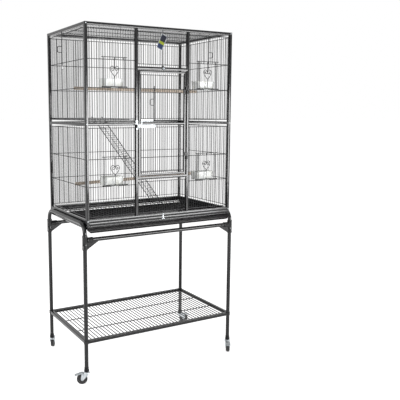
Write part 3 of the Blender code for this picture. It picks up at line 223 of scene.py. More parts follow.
@dataclass(frozen=True)
class HammertonePowderCoat(Finish):
    """Black hammertone powder coat, sprayed and baked on steel tube and wire.

    The powder flows into shallow dimples with lighter rims. The coat is glossy, so a flat face
    mirrors a lamp softly, broken by the dimples, and edges rubbed by hands turn a shade greyer.
    """

    slot: str = "powder_coat"
    inputs: Inputs = (("IOR", 1.5), ("Specular IOR Level", 0.4))
    rough: Pair = (0.06, 0.18)
    bump: Pair = (0.08, 0.0004)
    wear: float = 0.0012
    # The real dimples are 2 to 3 mm across; at 5 mm they still show at the size of the render.
    dimple: float = 0.005
    dark: str = "#0b0b0d"
    rim: str = "#191a1c"
    worn: str = "#4b4d51"

    def dress(self, add: Add, where: Socket) -> Dressing:
        """Build dimples, their lighter rims, a broad drift of tone and the wear along edges.

        Args:
            add: Adds a node to the material.
            where: Object coordinates, in metres.

        Returns:
            The nodes of colour, roughness and relief.
        """
        drift = add("TexNoise", {"Scale": 28.0, "Detail": 3.0}, where)
        swirl = add("TexNoise", {"Scale": 0.7 / self.dimple, "Detail": 1.0}, where)
        bent = add("VectorMath", {"operation": "MULTIPLY_ADD", 1: (0.002,) * 3},
                   {0: swirl.outputs["Color"], 2: where})
        cells = add("TexVoronoi", {"feature": "SMOOTH_F1", "Scale": 1 / self.dimple}, bent)
        rims = add("ValToRGB", {"stops": ((0.25, self.dark), (0.62, self.rim))}, cells)
        toned = add("Mix", {"data_type": "RGBA", "blend_type": "MULTIPLY", 0: 0.45},
                    {6: rims, 7: drift})
        rubbed = add("TexNoise", {"Scale": 160.0, "Detail": 4.0}, where)
        amount = add("Math", {"operation": "MULTIPLY"}, {0: self.edges(add), 1: rubbed})
        faded = add("Mix", {"data_type": "RGBA", 7: self.worn}, {0: amount, 6: toned})
        return faded, drift, cells


@dataclass(frozen=True)
class GlossMouldedABS(Finish):
    """Black ABS, vacuum-formed against a polished tool, as the waste tray is.

    It mirrors the room in soft waves, because the sheet stretched unevenly, and it shows dust and
    the fine scuffs of a scraper.
    """

    slot: str = "tray_plastic"
    inputs: Inputs = (("IOR", 1.53), ("Specular IOR Level", 0.09))
    rough: Pair = (0.1, 0.32)
    rough_over: Pair = (0.62, 0.78)
    bump: Pair = (0.25, 0.0015)
    wear: float = 0.0012
    body: str = "#110f10"
    dusty: str = "#232124"

    def dress(self, add: Add, where: Socket) -> Dressing:
        """Build dust in patches, thin scuffs and the waves of the sheet.

        Args:
            add: Adds a node to the material.
            where: Object coordinates, in metres.

        Returns:
            The nodes of colour, roughness and relief.
        """
        dust = add("TexNoise", {"Scale": 14.0, "Detail": 6.0, "Roughness": 0.62}, where)
        settled = add("MapRange", {"From Min": 0.45, "From Max": 0.8, "To Max": 0.6}, dust)
        worn = add("Math", {"operation": "MAXIMUM"}, {0: settled, 1: self.edges(add)})
        colour = add("Mix", {"data_type": "RGBA", 6: self.body, 7: self.dusty}, {0: worn})
        along = add("Mapping", {"Scale": (12.0, 420.0, 420.0)}, where)
        scuffs = add("TexNoise", {"Scale": 1.0, "Detail": 2.0}, along)
        waves = add("TexNoise", {"Scale": 22.0, "Detail": 1.0}, where)
        return colour, scuffs, waves


@dataclass(frozen=True)
class BrightZincPlate(Finish):
    """Bright zinc, electroplated on pressed steel and screws.

    It is a silvery metal with a faint cool bloom in clouds, fine press lines and brighter rubbed
    edges.
    """

    slot: str = "zinc"
    inputs: Inputs = (("Metallic", 1.0),)
    rough: Pair = (0.36, 0.56)
    bump: Pair = (0.2, 0.0001)
    wear: float = 0.0006
    silver: str = "#c6c9cb"
    bloom: str = "#9da4a9"
    bright: str = "#e6e8e8"

    def dress(self, add: Add, where: Socket) -> Dressing:
        """Build the cloudy bloom, the press lines and the rubbed edges.

        Args:
            add: Adds a node to the material.
            where: Object coordinates, in metres.

        Returns:
            The nodes of colour, roughness and relief.
        """
        cloud = add("TexNoise", {"Scale": 130.0, "Detail": 4.0}, where)
        lines = add("Mapping", {"Scale": (150.0, 150.0, 1600.0)}, where)
        drawn = add("TexNoise", {"Scale": 1.0, "Detail": 3.0}, lines)
        bloomed = add("ValToRGB", {"stops": ((0.35, self.bloom), (0.62, self.silver))}, cloud)
        colour = add("Mix", {"data_type": "RGBA", 7: self.bright}, {0: self.edges(add), 6: bloomed})
        return colour, drawn, drawn


@dataclass(frozen=True)
class SatinNylon(Finish):
    """Black nylon, injection moulded in a spark-eroded tool, as the collars and the knob are.

    The tool leaves a fine even grain that softens the highlight, and fingers polish the edges.
    """

    slot: str = "black_plastic"
    inputs: Inputs = (("IOR", 1.53), ("Specular IOR Level", 0.2))
    rough: Pair = (0.42, 0.6)
    # The real grain is about 0.2 mm; at 0.6 mm it still softens the highlight in the render.
    grain: float = 0.0006
    body: str = "#0e0e10"
    polished: str = "#2a2b2f"

    def dress(self, add: Add, where: Socket) -> Dressing:
        """Build the moulded grain and the polished edges.

        Args:
            add: Adds a node to the material.
            where: Object coordinates, in metres.

        Returns:
            The nodes of colour, roughness and relief.
        """
        grain = add("TexNoise", {"Scale": 1 / self.grain, "Detail": 2.0}, where)
        tone = add("TexNoise", {"Scale": 60.0, "Detail": 3.0}, where)
        edge = add("Math", {"operation": "MULTIPLY"}, {0: self.edges(add), 1: tone})
        colour = add("Mix", {"data_type": "RGBA", 6: self.body, 7: self.polished}, {0: edge})
        return colour, tone, grain


@dataclass(frozen=True)
class MouldedTread(Finish):
    """Black polyurethane, cast on a nylon hub, as the caster wheels are.

    Rolling dulls the tread and presses pale floor dust into it, while the sides stay satin.
    """

    slot: str = "wheel"
    rough: Pair = (0.24, 0.5)
    bump: Pair = (0.3, 0.0002)
    body: str = "#0d0d0e"
    dust: str = "#2c2b2a"

    def dress(self, add: Add, where: Socket) -> Dressing:
        """Build the dusty speckle and its dull sheen.

        Args:
            add: Adds a node to the material.
            where: Object coordinates, in metres.

        Returns:
            The nodes of colour, roughness and relief.
        """
        speck = add("TexNoise", {"Scale": 420.0, "Detail": 5.0, "Roughness": 0.7}, where)
        cover = add("MapRange", {"From Min": 0.52, "From Max": 0.75, "To Max": 0.55}, speck)
        colour = add("Mix", {"data_type": "RGBA", 6: self.body, 7: self.dust}, {0: cover})
        return colour, speck, speck


@dataclass(frozen=True)
class MouldedPolypropylene(Finish):
    """White polypropylene, injection moulded, as the seed cups are.

    It is slightly milky, so light softens inside the wall, and beaks leave short dull scratches.
    """

    slot: str = "cup_plastic"
    inputs: Inputs = (("IOR", 1.49), ("Subsurface Weight", 0.2),
                      ("Subsurface Radius", (0.004, 0.004, 0.004)))
    rough: Pair = (0.28, 0.52)
    rough_over: Pair = (0.4, 0.75)
    bump: Pair = (0.12, 0.0001)
    body: str = "#eef0ef"
    stained: str = "#dcdcd4"

    def dress(self, add: Add, where: Socket) -> Dressing:
        """Build the milky body, a faint stain and the scratches.

        Args:
            add: Adds a node to the material.
            where: Object coordinates, in metres.

        Returns:
            The nodes of colour, roughness and relief.
        """
        stain = add("TexNoise", {"Scale": 45.0, "Detail": 4.0}, where)
        stretch = add("Mapping", {"Scale": (90.0, 700.0, 900.0), "Rotation": (0.3, 0.5, 0.2)},
                      where)
        scratch = add("TexNoise", {"Scale": 1.0, "Detail": 2.0}, stretch)
        colour = add("ValToRGB", {"stops": ((0.3, self.stained), (0.55, self.body))}, stain)
        return colour, scratch, scratch


@dataclass(frozen=True)
class TurnedPine(Finish):
    """Bare pine, turned to a dowel and sanded, as the perches are.

    Growth bands run along the dowel as long pale and darker streaks, and the sanded skin is dull.
    """

    slot: str = "dowel"
    rough: Pair = (0.5, 0.72)
    bump: Pair = (0.35, 0.0002)
    # Pine rings are 1.5 to 3 mm wide; cut along the grain they show as streaks at that spacing.
    ring: float = 0.0026
    pale: str = "#dfd0c0"
    late: str = "#a58f7b"

    def dress(self, add: Add, where: Socket) -> Dressing:
        """Build streaks along the dowel, pores and a dull sanded skin.

        Args:
            add: Adds a node to the material.
            where: Object coordinates, in metres.

        Returns:
            The nodes of colour, roughness and relief.
        """
        drawn = add("Mapping", {"Scale": (0.03, 1.0, 1.0), "Rotation": (0.0, 0.02, 0.0)}, where)
        bands = add("TexNoise", {"Scale": 1 / self.ring, "Detail": 3.0, "Distortion": 0.4}, drawn)
        pores = add("Mapping", {"Scale": (180.0, 2600.0, 2600.0)}, where)
        pitted = add("TexNoise", {"Scale": 1.0, "Detail": 2.0}, pores)
        streaks = add("ValToRGB", {"stops": ((0.36, self.late), (0.52, self.pale))}, bands)
        colour = add("Mix", {"data_type": "RGBA", "blend_type": "MULTIPLY", 0: 0.15},
                     {6: streaks, 7: pitted})
        return colour, bands, pitted


@dataclass(frozen=True)
class CoatedCard(Finish):
    """Card, offset printed with bands of plain colour and varnished, as the hang tag is.

    The varnish gives an even sheen, the ink has a fine dot grain, and the cut edge shows pale card.
    """

    slot: str = "card"
    inputs: Inputs = (("Specular IOR Level", 0.15),)
    rough: Pair = (0.34, 0.5)
    bump: Pair = (0.1, 0.0001)
    navy: str = "#0b1022"
    green: str = "#8d9722"
    blue: str = "#16294f"
    card: str = "#b9bcc0"

    def dress(self, add: Add, where: Socket) -> Dressing:
        """Build the bands across the card, its pale border and the grain of the ink.

        Args:
            add: Adds a node to the material.
            where: Object coordinates, in metres.

        Returns:
            The nodes of colour, roughness and relief.
        """
        sheet = add("UVMap", {"uv_map": "card"})
        parts = add("SeparateXYZ", {}, sheet).outputs
        bands = add("ValToRGB", {"stops": ((0.0, self.card), (0.03, self.blue), (0.34, self.green),
                                           (0.52, self.navy), (0.97, self.card))}, parts["Y"])
        bands.color_ramp.interpolation = "CONSTANT"
        side = add("Math", {"operation": "PINGPONG", 1: 0.5}, {0: parts["X"]})
        inked = add("Math", {"operation": "GREATER_THAN", 1: 0.06}, {0: side})
        grain = add("TexNoise", {"Scale": 900.0, "Detail": 2.0}, where)
        framed = add("Mix", {"data_type": "RGBA", 6: self.card}, {0: inked, 7: bands})
        colour = add("Mix", {"data_type": "RGBA", "blend_type": "OVERLAY", 0: 0.12},
                     {6: framed, 7: grain.outputs["Color"]})
        return colour, grain, grain


COAT = HammertonePowderCoat()
TRAY_GLOSS = GlossMouldedABS()
ZINC = BrightZincPlate()
NYLON = SatinNylon()
TREAD = MouldedTread()
CUP_WHITE = MouldedPolypropylene()
PINE = TurnedPine()
CARD = CoatedCard()


# Shapes

def both(near: float, far: float) -> tuple[Pair, Pair]:
    """The span from near to far on either side of zero, each as its low and its high end."""
    return (-far, -near), (near, far)


def facing_front(x: float, y: float, z: float) -> Matrix:
    """A place whose own Z axis faces the front of the cage and whose own Y axis is up."""
    return Matrix.Translation((x, y, z)) @ Matrix.Rotation(QUARTER, 4, "X")


def eased(points: Sequence[Point], steps: int = 6, closed: bool = False) -> list[Vector]:
    """Draw a smooth path through points, as a wire bent by hand takes.

    Args:
        points: The points it passes through.
        steps: Steps between two points.
        closed: The path is a loop.

    Returns:
        The finer path.
    """
    knots = [Vector(point) for point in points]
    count = len(knots)
    path = []
    for i in range(count if closed else count - 1):
        a, b, c, d = (knots[(i + k) % count if closed else min(max(i + k, 0), count - 1)]
                      for k in (-1, 0, 1, 2))
        for t in (step / steps for step in range(steps)):
            path.append(0.5 * (2 * b + (c - a) * t + (2 * a - 5 * b + 4 * c - d) * t * t
                               + (3 * b - a - 3 * c + d) * t ** 3))
    return path if closed else path + [knots[-1]]


def rounded_loop(x0: float, x1: float, y0: float, y1: float, z: float, r: float) -> list[Vector]:
    """Draw a level rectangle with round corners.

    Args:
        x0: Lowest X.
        x1: Highest X.
        y0: Lowest Y.
        y1: Highest Y.
        z: Height.
        r: Radius of the corners.

    Returns:
        Its points in order, 24 of them.
    """
    corners = ((x1 - r, y1 - r), (x0 + r, y1 - r), (x0 + r, y0 + r), (x1 - r, y0 + r))
    return [Vector((cx + r * math.cos(a), cy + r * math.sin(a), z))
            for quarter, (cx, cy) in enumerate(corners)
            for a in (QUARTER * (quarter + step / 5) for step in range(6))]


class Workpiece:
    """A mesh in the making, in metres."""

    def __init__(self) -> None:
        """Start with nothing in it."""
        self.mesh = bmesh.new()

    def skin(self, rings: Sequence[Sequence[Point]], closed: bool = False) -> None:
        """Join rings of equal count into one skin.

        Args:
            rings: The rings in order, each a loop of points.
            closed: Join the last ring to the first; otherwise both ends are capped.
        """
        made = [[self.mesh.verts.new(point) for point in ring] for ring in rings]
        pairs = list(zip(made, made[1:])) + ([(made[-1], made[0])] if closed else [])
        for ring, following in pairs:
            for k in range(len(ring)):
                n = (k + 1) % len(ring)
                self.mesh.faces.new((ring[k], ring[n], following[n], following[k]))
        if not closed:
            self.mesh.faces.new(list(reversed(made[0])))
            self.mesh.faces.new(made[-1])

    def round_bar(self, path: Sequence[Point], radius: float, sides: int = 12,
                  closed: bool = False) -> None:
        """Sweep a round bar or wire along a path.

        Args:
            path: The points of its centre line.
            radius: Its radius.
            sides: Sides round the bar.
            closed: The path is a loop.
        """
        points = [Vector(point) for point in path]
        count = len(points)
        normal = before = Vector((0, 0, 0))
        rings = []
        for i, point in enumerate(points):
            last = points[i - 1] if i or closed else point
            following = points[(i + 1) % count] if i < count - 1 or closed else point
            along = (following - last).normalized()
            if i:
                normal = before.rotation_difference(along) @ normal
            else:
                normal = along.orthogonal().normalized()
            before = along
            across = along.cross(normal)
            rings.append([point + normal * radius * math.cos(a) + across * radius * math.sin(a)
                          for a in (2 * math.pi * k / sides for k in range(sides))])
        self.skin(rings, closed)

    def wire(self, start: Point, end: Point, radius: float, sides: int = 0) -> None:
        """Add a straight wire; without a number of sides, a thin one has 8 and a thick one 10."""
        self.round_bar([start, end], radius, sides or (8 if radius < THIN_WIRE else 10))

    def square_bar(self, low: Point, high: Point, corner: float = 0.0014) -> None:
        """Add a straight square tube or flat bar with rounded long edges.

        Args:
            low: Its lowest corner.
            high: Its highest corner.
            corner: Radius of the long edges.
        """
        size = [b - a for a, b in zip(low, high)]
        axis = size.index(max(size))
        u, v = [i for i in range(3) if i != axis]
        corner = min(corner, size[u] / 2.2, size[v] / 2.2)
        left, right = low[u] + corner, high[u] - corner
        under, over = low[v] + corner, high[v] - corner
        rings = []
        for end in (low[axis], high[axis]):
            ring = []
            for quarter, (cu, cv) in enumerate(((right, over), (left, over), (left, under),
                                                (right, under))):
                for a in (QUARTER * (quarter + step / 3) for step in range(4)):
                    point = [end] * 3
                    point[u], point[v] = cu + corner * math.cos(a), cv + corner * math.sin(a)
                    ring.append(point)
            rings.append(ring)
        self.skin(rings)

    def turned(self, profile: Sequence[Pair], place: Matrix, steps: int = 32) -> None:
        """Turn a closed profile about Z.

        Args:
            profile: Points of radius and height.
            place: Where the turned piece goes.
            steps: Steps round.
        """
        self.skin([[place @ Vector((r * math.cos(a), r * math.sin(a), h)) for r, h in profile]
                   for a in (2 * math.pi * k / steps for k in range(steps))], closed=True)

    def pressed(self, outline: Sequence[Pair], thick: float, place: Matrix) -> None:
        """Cut a plate to an outline in X and Y, standing on its place with a thickness in Z."""
        self.skin([[place @ Vector((a, b, z)) for a, b in outline] for z in (0.0, thick)])

    def drawn(self, outline: Sequence[Pair], xs: Sequence[float]) -> None:
        """Draw an outline in Y and Z out along X, from the first X to the last."""
        self.skin([[(x, a, b) for a, b in outline] for x in xs])

    def ball(self, centre: Point, radius: float, stretch: Point = (1, 1, 1)) -> None:
        """Add a ball, such as the end of a bar or the head of a rivet.

        Args:
            centre: Its centre.
            radius: Its radius before it is stretched.
            stretch: Its scale along each axis.
        """
        place = Matrix.Translation(centre) @ Matrix.Diagonal((*stretch, 1.0))
        bmesh.ops.create_uvsphere(self.mesh, u_segments=16, v_segments=10, radius=radius,
                                  matrix=place)

    def placed(self, place: Matrix) -> "Workpiece":
        """Move everything made so far by a matrix, and return the workpiece."""
        bmesh.ops.transform(self.mesh, matrix=place, verts=self.mesh.verts)
        return self

    def fitted(self, name: str, finish: Finish, body: str, stands_for: str = "",
               edge: float = 0.0, angle: float = 40.0) -> None:
        """Turn the workpiece into a dressed piece that rides on its body.

        Args:
            name: The piece's name.
            finish: Its surface finish.
            body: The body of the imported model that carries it.
            stands_for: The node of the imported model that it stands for, if any.
            edge: Radius given to its sharp edges, or 0.
            angle: Edges sharper than this stay crisp, in degrees.
        """
        bmesh.ops.remove_doubles(self.mesh, verts=self.mesh.verts, dist=MERGED)
        bmesh.ops.recalc_face_normals(self.mesh, faces=self.mesh.faces)
        data = bpy.data.meshes.new(name)
        self.mesh.to_mesh(data)
        self.mesh.free()
        data.shade_smooth()
        data.set_sharp_from_angle(angle=math.radians(angle))
        data.materials.append(finish.material())
        item = bpy.data.objects.new(name, data)
        bpy.context.scene.collection.objects.link(item)
        if edge:
            bevel = item.modifiers.new("softened_edges", "BEVEL")
            bevel.width = edge
            bevel.segments = 2
            bevel.limit_method = "ANGLE"
            bevel.angle_limit = math.radians(40)
            bevel.harden_normals = True
        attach(item, body)
        if stands_for:
            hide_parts(stands_for)
        log.info("%s rides on %s with %d faces", name, body, len(data.polygons))


# Sizes that the sub-assemblies share

@dataclass(frozen=True)
class CageSizes:
    """Sizes that more than one sub-assembly works from, in metres."""

    gap: float = 0.0003
    half_x: float = 0.384
    half_y: float = 0.232
    tube: float = 0.0127
    lap: float = 0.0012
    weld: float = 0.0001
    under_z: float = 0.750
    height: float = 0.876
    mullion_x: float = 0.138
    sill_rise: float = 0.187
    header_drop: float = 0.186
    pitch: float = 0.0127
    wire_r: float = 0.00145
    mesh_r: float = 0.0011
    cross_r: float = 0.0016
    end_in: float = 0.011
    span_upper: float = 0.1313
    span_lower: float = 0.1386
    feeder_h: float = 0.1235
    feeder_count: int = 9
    outer_count: int = 5
    door_tube: float = 0.010
    door_gap: float = 0.004
    hinge_in: float = 0.070
    hinge_out: float = 0.004
    knuckle_r: float = 0.004
    knuckle_l: float = 0.017
    hinge_pin_r: float = 0.0018
    rod_r: float = 0.002
    rod_tail: float = 0.012
    rod_up: float = 0.006
    leg_r: float = 0.0095
    leg_y: float = 0.2335
    leg_drop: float = 0.005
    rail_drop: float = 0.0715
    foot_z: float = 0.066
    base_h: float = 0.0127
    shelf_bar: float = 0.005
    bar_lap: float = 0.0006
    bar_corner: float = 0.0008
    runner_t: float = 0.0015
    ledge: float = 0.011
    rim: float = 0.0024

    @property
    def half(self) -> float:
        """Half the side of the cage's tube."""
        return self.tube / 2

    @property
    def top_z(self) -> float:
        """Top of the cage."""
        return self.under_z + self.height

    @property
    def mid_z(self) -> float:
        """Centre of the middle rail."""
        return self.under_z + self.height / 2

    @property
    def sill_z(self) -> float:
        """Centre of the rail below the door."""
        return self.under_z + self.sill_rise

    @property
    def header_z(self) -> float:
        """Centre of the rail above the door."""
        return self.top_z - self.header_drop

    @property
    def inner_x(self) -> float:
        """Inner face of a corner post, along X."""
        return self.half_x - self.half

    @property
    def inner_y(self) -> float:
        """Inner face of a corner post, along Y."""
        return self.half_y - self.half

    @property
    def outer_x(self) -> float:
        """Outer face of a corner post, along X."""
        return self.half_x + self.half

    @property
    def outer_y(self) -> float:
        """Outer face of a corner post, along Y."""
        return self.half_y + self.half

    @property
    def shift(self) -> float:
        """How far inside the uprights the cross wires lie, just bitten into them by the weld."""
        return self.mesh_r + self.cross_r - self.weld

    @property
    def trim(self) -> float:
        """How far an upright wire passes the end wire that it is welded to."""
        return self.cross_r * 1.7

    @property
    def ends(self) -> tuple[float, float, float, float]:
        """Place the end wires of a wall.

        Returns:
            The heights of the four wires, from the lowest up.
        """
        away = self.half + self.end_in
        return (self.under_z + self.tube + self.end_in, self.mid_z - away, self.mid_z + away,
                self.top_z - self.tube - self.end_in)

    @property
    def crossings(self) -> tuple[float, float, float, float]:
        """Place the long cross wires of a wall.

        Returns:
            The heights of the four wires, from the highest down.
        """
        upper = self.ends[3] - self.span_upper
        lower = self.ends[1] - self.span_lower
        return upper, upper - self.feeder_h, lower, lower - self.feeder_h

    @property
    def door_ends(self) -> Pair:
        """Underside and top of the door."""
        play = self.door_gap * 0.75
        return self.sill_z + self.half + play, self.header_z - self.half - play

    @property
    def hinge(self) -> Vector:
        """A point on the hinge line of the door, at floor level."""
        return Vector((self.mullion_x - self.half - self.door_gap / 2,
                       -(self.outer_y + self.gap + self.hinge_out), 0))

    @property
    def hinge_heights(self) -> Pair:
        """Underside of each door hinge."""
        low, high = self.door_ends
        return low + self.hinge_in, high - self.hinge_in - 2 * self.knuckle_l

    @property
    def rod_top_z(self) -> float:
        """Upper tip of the rods of the end walls, which reach into the top rails."""
        return self.top_z - self.tube + self.rod_up

    @property
    def leg_x(self) -> float:
        """Centre line of the leg frames."""
        return self.outer_x + self.gap + self.leg_r * math.cos(math.pi / 8)

    @property
    def leg_top_z(self) -> float:
        """Centre line of the top of the leg frames."""
        return self.under_z - self.leg_drop

    @property
    def rail_z(self) -> float:
        """Centre line of the stand's cross rails."""
        return self.leg_top_z - self.rail_drop

    @property
    def base_z(self) -> float:
        """Underside of the base frame."""
        return self.under_z - self.gap - self.base_h

    @property
    def slide_x(self) -> float:
        """How far out the grate and the rim of the tray reach, between the runners."""
        return self.outer_x - self.gap * 4 - self.runner_t

    @property
    def grate_top(self) -> float:
        """Top of the grate's bars."""
        return self.ledge_top(0) + self.gap + self.shelf_bar

    def level(self, level: Level) -> tuple[float, float, float, float]:
        """Get the heights of a storey.

        Args:
            level: The storey.

        Returns:
            Its lower end wire, its upper end wire, and the bottom and top of its feeder openings.
        """
        upper_top, upper_low, lower_top, lower_low = self.crossings
        if level is Level.UPPER:
            return self.ends[2], self.ends[3], upper_low, upper_top
        return self.ends[0], self.ends[1], lower_low, lower_top

    def row(self, low: float, high: float, pitch: float | None = None) -> list[float]:
        """Space wires evenly between two faces.

        Args:
            low: The first face.
            high: The second face.
            pitch: Their spacing, or the mesh pitch.

        Returns:
            Centred positions, clear of both faces.
        """
        pitch = pitch or self.pitch
        count = int((high - low - pitch * 0.5) / pitch) + 1
        first = (low + high) / 2 - (count - 1) * pitch / 2
        return [first + i * pitch for i in range(count)]

    def bay(self, side: Side) -> Pair:
        """Span of a front bay along X."""
        low, high = both(self.mullion_x + self.half, self.inner_x)[side is Side.RIGHT]
        return low + self.gap, high - self.gap

    def guides(self, side: Side) -> Pair:
        """Find the two wires on which the feeder doors of a bay slide.

        Args:
            side: Which bay.

        Returns:
            Their X positions, the left one first.
        """
        # The wires are counted from the post inwards.
        xs = self.row(*self.bay(side))[::-side.value]
        near, far = sorted((xs[self.outer_count], xs[self.outer_count + self.feeder_count]))
        return near, far

    def ledge_top(self, level: int) -> float:
        """Top of the upper ledge of the runners (0), or of the lower one (1)."""
        step = self.runner_t + self.rim + self.gap * 12
        return self.base_z - self.gap * 7 - self.shelf_bar - level * step


@dataclass
class Assembly:
    """A sub-assembly, built from the sizes that it shares with the others."""

    sizes: CageSizes

    def eye(self, work: Workpiece, place: Point, inner: float, side: float) -> None:
        """Add an upright eye in which a slide rod runs.

        Args:
            work: The piece being made.
            place: Middle of the eye.
            inner: Radius of its hole.
            side: Half the height of its straight side.
        """
        ring = [(inner, -0.002), (0.0041, -0.002), (0.0045, -side), (0.0045, side),
                (0.0041, 0.002), (inner, 0.002)]
        work.turned(ring, Matrix.Translation(place), 24)

    def knuckle(self, work: Workpiece, z: float) -> None:
        """Add one knuckle of a door hinge, its rims eased.

        Args:
            work: The piece being made.
            z: Underside of the knuckle.
        """
        s = self.sizes
        r, inner, top, ease = s.knuckle_r, s.hinge_pin_r + s.gap, z + s.knuckle_l, 0.0005
        work.turned([(inner, z), (r - ease, z), (r, z + ease), (r, top - ease), (r - ease, top),
                     (inner, top)], Matrix.Translation(s.hinge), 24)


# Walls and roof

@dataclass
class Walls(Assembly):
    """The back, the two ends and the roof: square tube frames with welded wire mesh."""

    edge_strip: float = 0.003
    eye_play: float = 0.00036

    def frame(self, work: Workpiece, x_end: float, edge: float) -> None:
        """Add three rails between two uprights, in the wall's own frame.

        Args:
            work: The wall being made.
            x_end: Outer face of the uprights.
            edge: Width of the uprights.
        """
        s = self.sizes
        for x0, x1 in both(x_end - edge, x_end):
            work.square_bar((x0, -s.half, s.under_z), (x1, s.half, s.top_z))
        reach = x_end - edge + s.lap
        for low in (s.under_z, s.mid_z - s.half, s.top_z - s.tube):
            work.square_bar((-reach, -s.half, low), (reach, s.half, low + s.tube))

    def mesh(self, work: Workpiece, reach: float, xs: Sequence[float],
             short: float | None = None) -> None:
        """Add the wires of both storeys.

        Args:
            work: The wall being made.
            reach: Half the length of the cross wires.
            xs: Places of the upright wires.
            short: Place of a wire that stops below the slide rod, or None.
        """
        s = self.sizes
        for y, heights in ((0, s.ends), (s.shift, s.crossings)):
            for z in heights:
                work.wire((-reach, y, z), (reach, y, z), s.cross_r)
        for x in xs:
            for low, high in (s.ends[:2], s.ends[2:]):
                if x != short or low == s.ends[0]:
                    work.wire((x, 0, low - s.trim), (x, 0, high + s.trim), s.mesh_r)

    def back(self) -> None:
        """Build the back wall with its two corner posts."""
        s = self.sizes
        work = Workpiece()
        self.frame(work, s.outer_x, s.tube)
        self.mesh(work, s.inner_x + 0.002, s.row(-s.inner_x, s.inner_x))
        place = Matrix.Translation((0, s.half_y, 0)) @ Matrix.Rotation(math.pi, 4, "Z")
        work.placed(place).fitted("back_wall", COAT, MAIN, "back_panel")

    def end(self, side: Side) -> None:
        """Build an end wall with the guide eyes of its slide rod.

        Args:
            side: Which end.
        """
        s = self.sizes
        x_end = s.inner_y - s.gap
        xs = s.row(self.edge_strip - x_end, x_end - self.edge_strip)
        short = min(xs, key=lambda x: abs(x + 4 * s.pitch))
        work = Workpiece()
        self.frame(work, x_end, self.edge_strip)
        self.mesh(work, x_end - self.edge_strip / 2, xs, short)
        stop_z = s.crossings[0] - s.rod_tail - s.pitch * 1.5
        work.wire((short, 0, s.ends[2] - s.cross_r), (short, 0, stop_z + s.cross_r), s.mesh_r)
        work.wire((short - s.pitch, 0, stop_z), (short + s.pitch, 0, stop_z), s.cross_r)
        for z in (s.ends[3], s.crossings[0]):
            self.eye(work, (short, 0, z), s.rod_r + self.eye_play, 0.0015)
        place = (Matrix.Translation((side.value * s.half_x, 0, 0))
                 @ Matrix.Rotation(side.value * QUARTER, 4, "Z"))
        work.placed(place).fitted(f"end_wall_{side.label}", COAT, MAIN, f"{side.label}_panel")

    def roof(self) -> None:
        """Build the roof, which drops in between the top rails."""
        s = self.sizes
        x_end, y_end = s.inner_x - s.gap, s.inner_y - s.gap
        low, high = s.top_z - s.tube, s.top_z
        reach = x_end - s.tube + s.lap
        work = Workpiece()
        for x0, x1 in both(x_end - s.tube, x_end):
            work.square_bar((x0, -y_end, low), (x1, y_end, high))
        for y0, y1 in both(y_end - s.tube, y_end):
            work.square_bar((-reach, y0, low), (reach, y1, high))
        z = s.top_z - s.half
        for y in (-y_end / 2, 0, y_end / 2):
            work.wire((s.half - x_end, y, z - s.shift), (x_end - s.half, y, z - s.shift), s.cross_r)
        for x in s.row(s.tube - x_end, x_end - s.tube):
            work.wire((x, s.half - y_end, z), (x, y_end - s.half, z), s.mesh_r)
        work.fitted("roof_grille", COAT, MAIN, "roof_panel")

    def build(self) -> None:
        """Build the back, both ends and the roof."""
        self.back()
        for side in Side:
            self.end(side)
        self.roof()


# Front wall

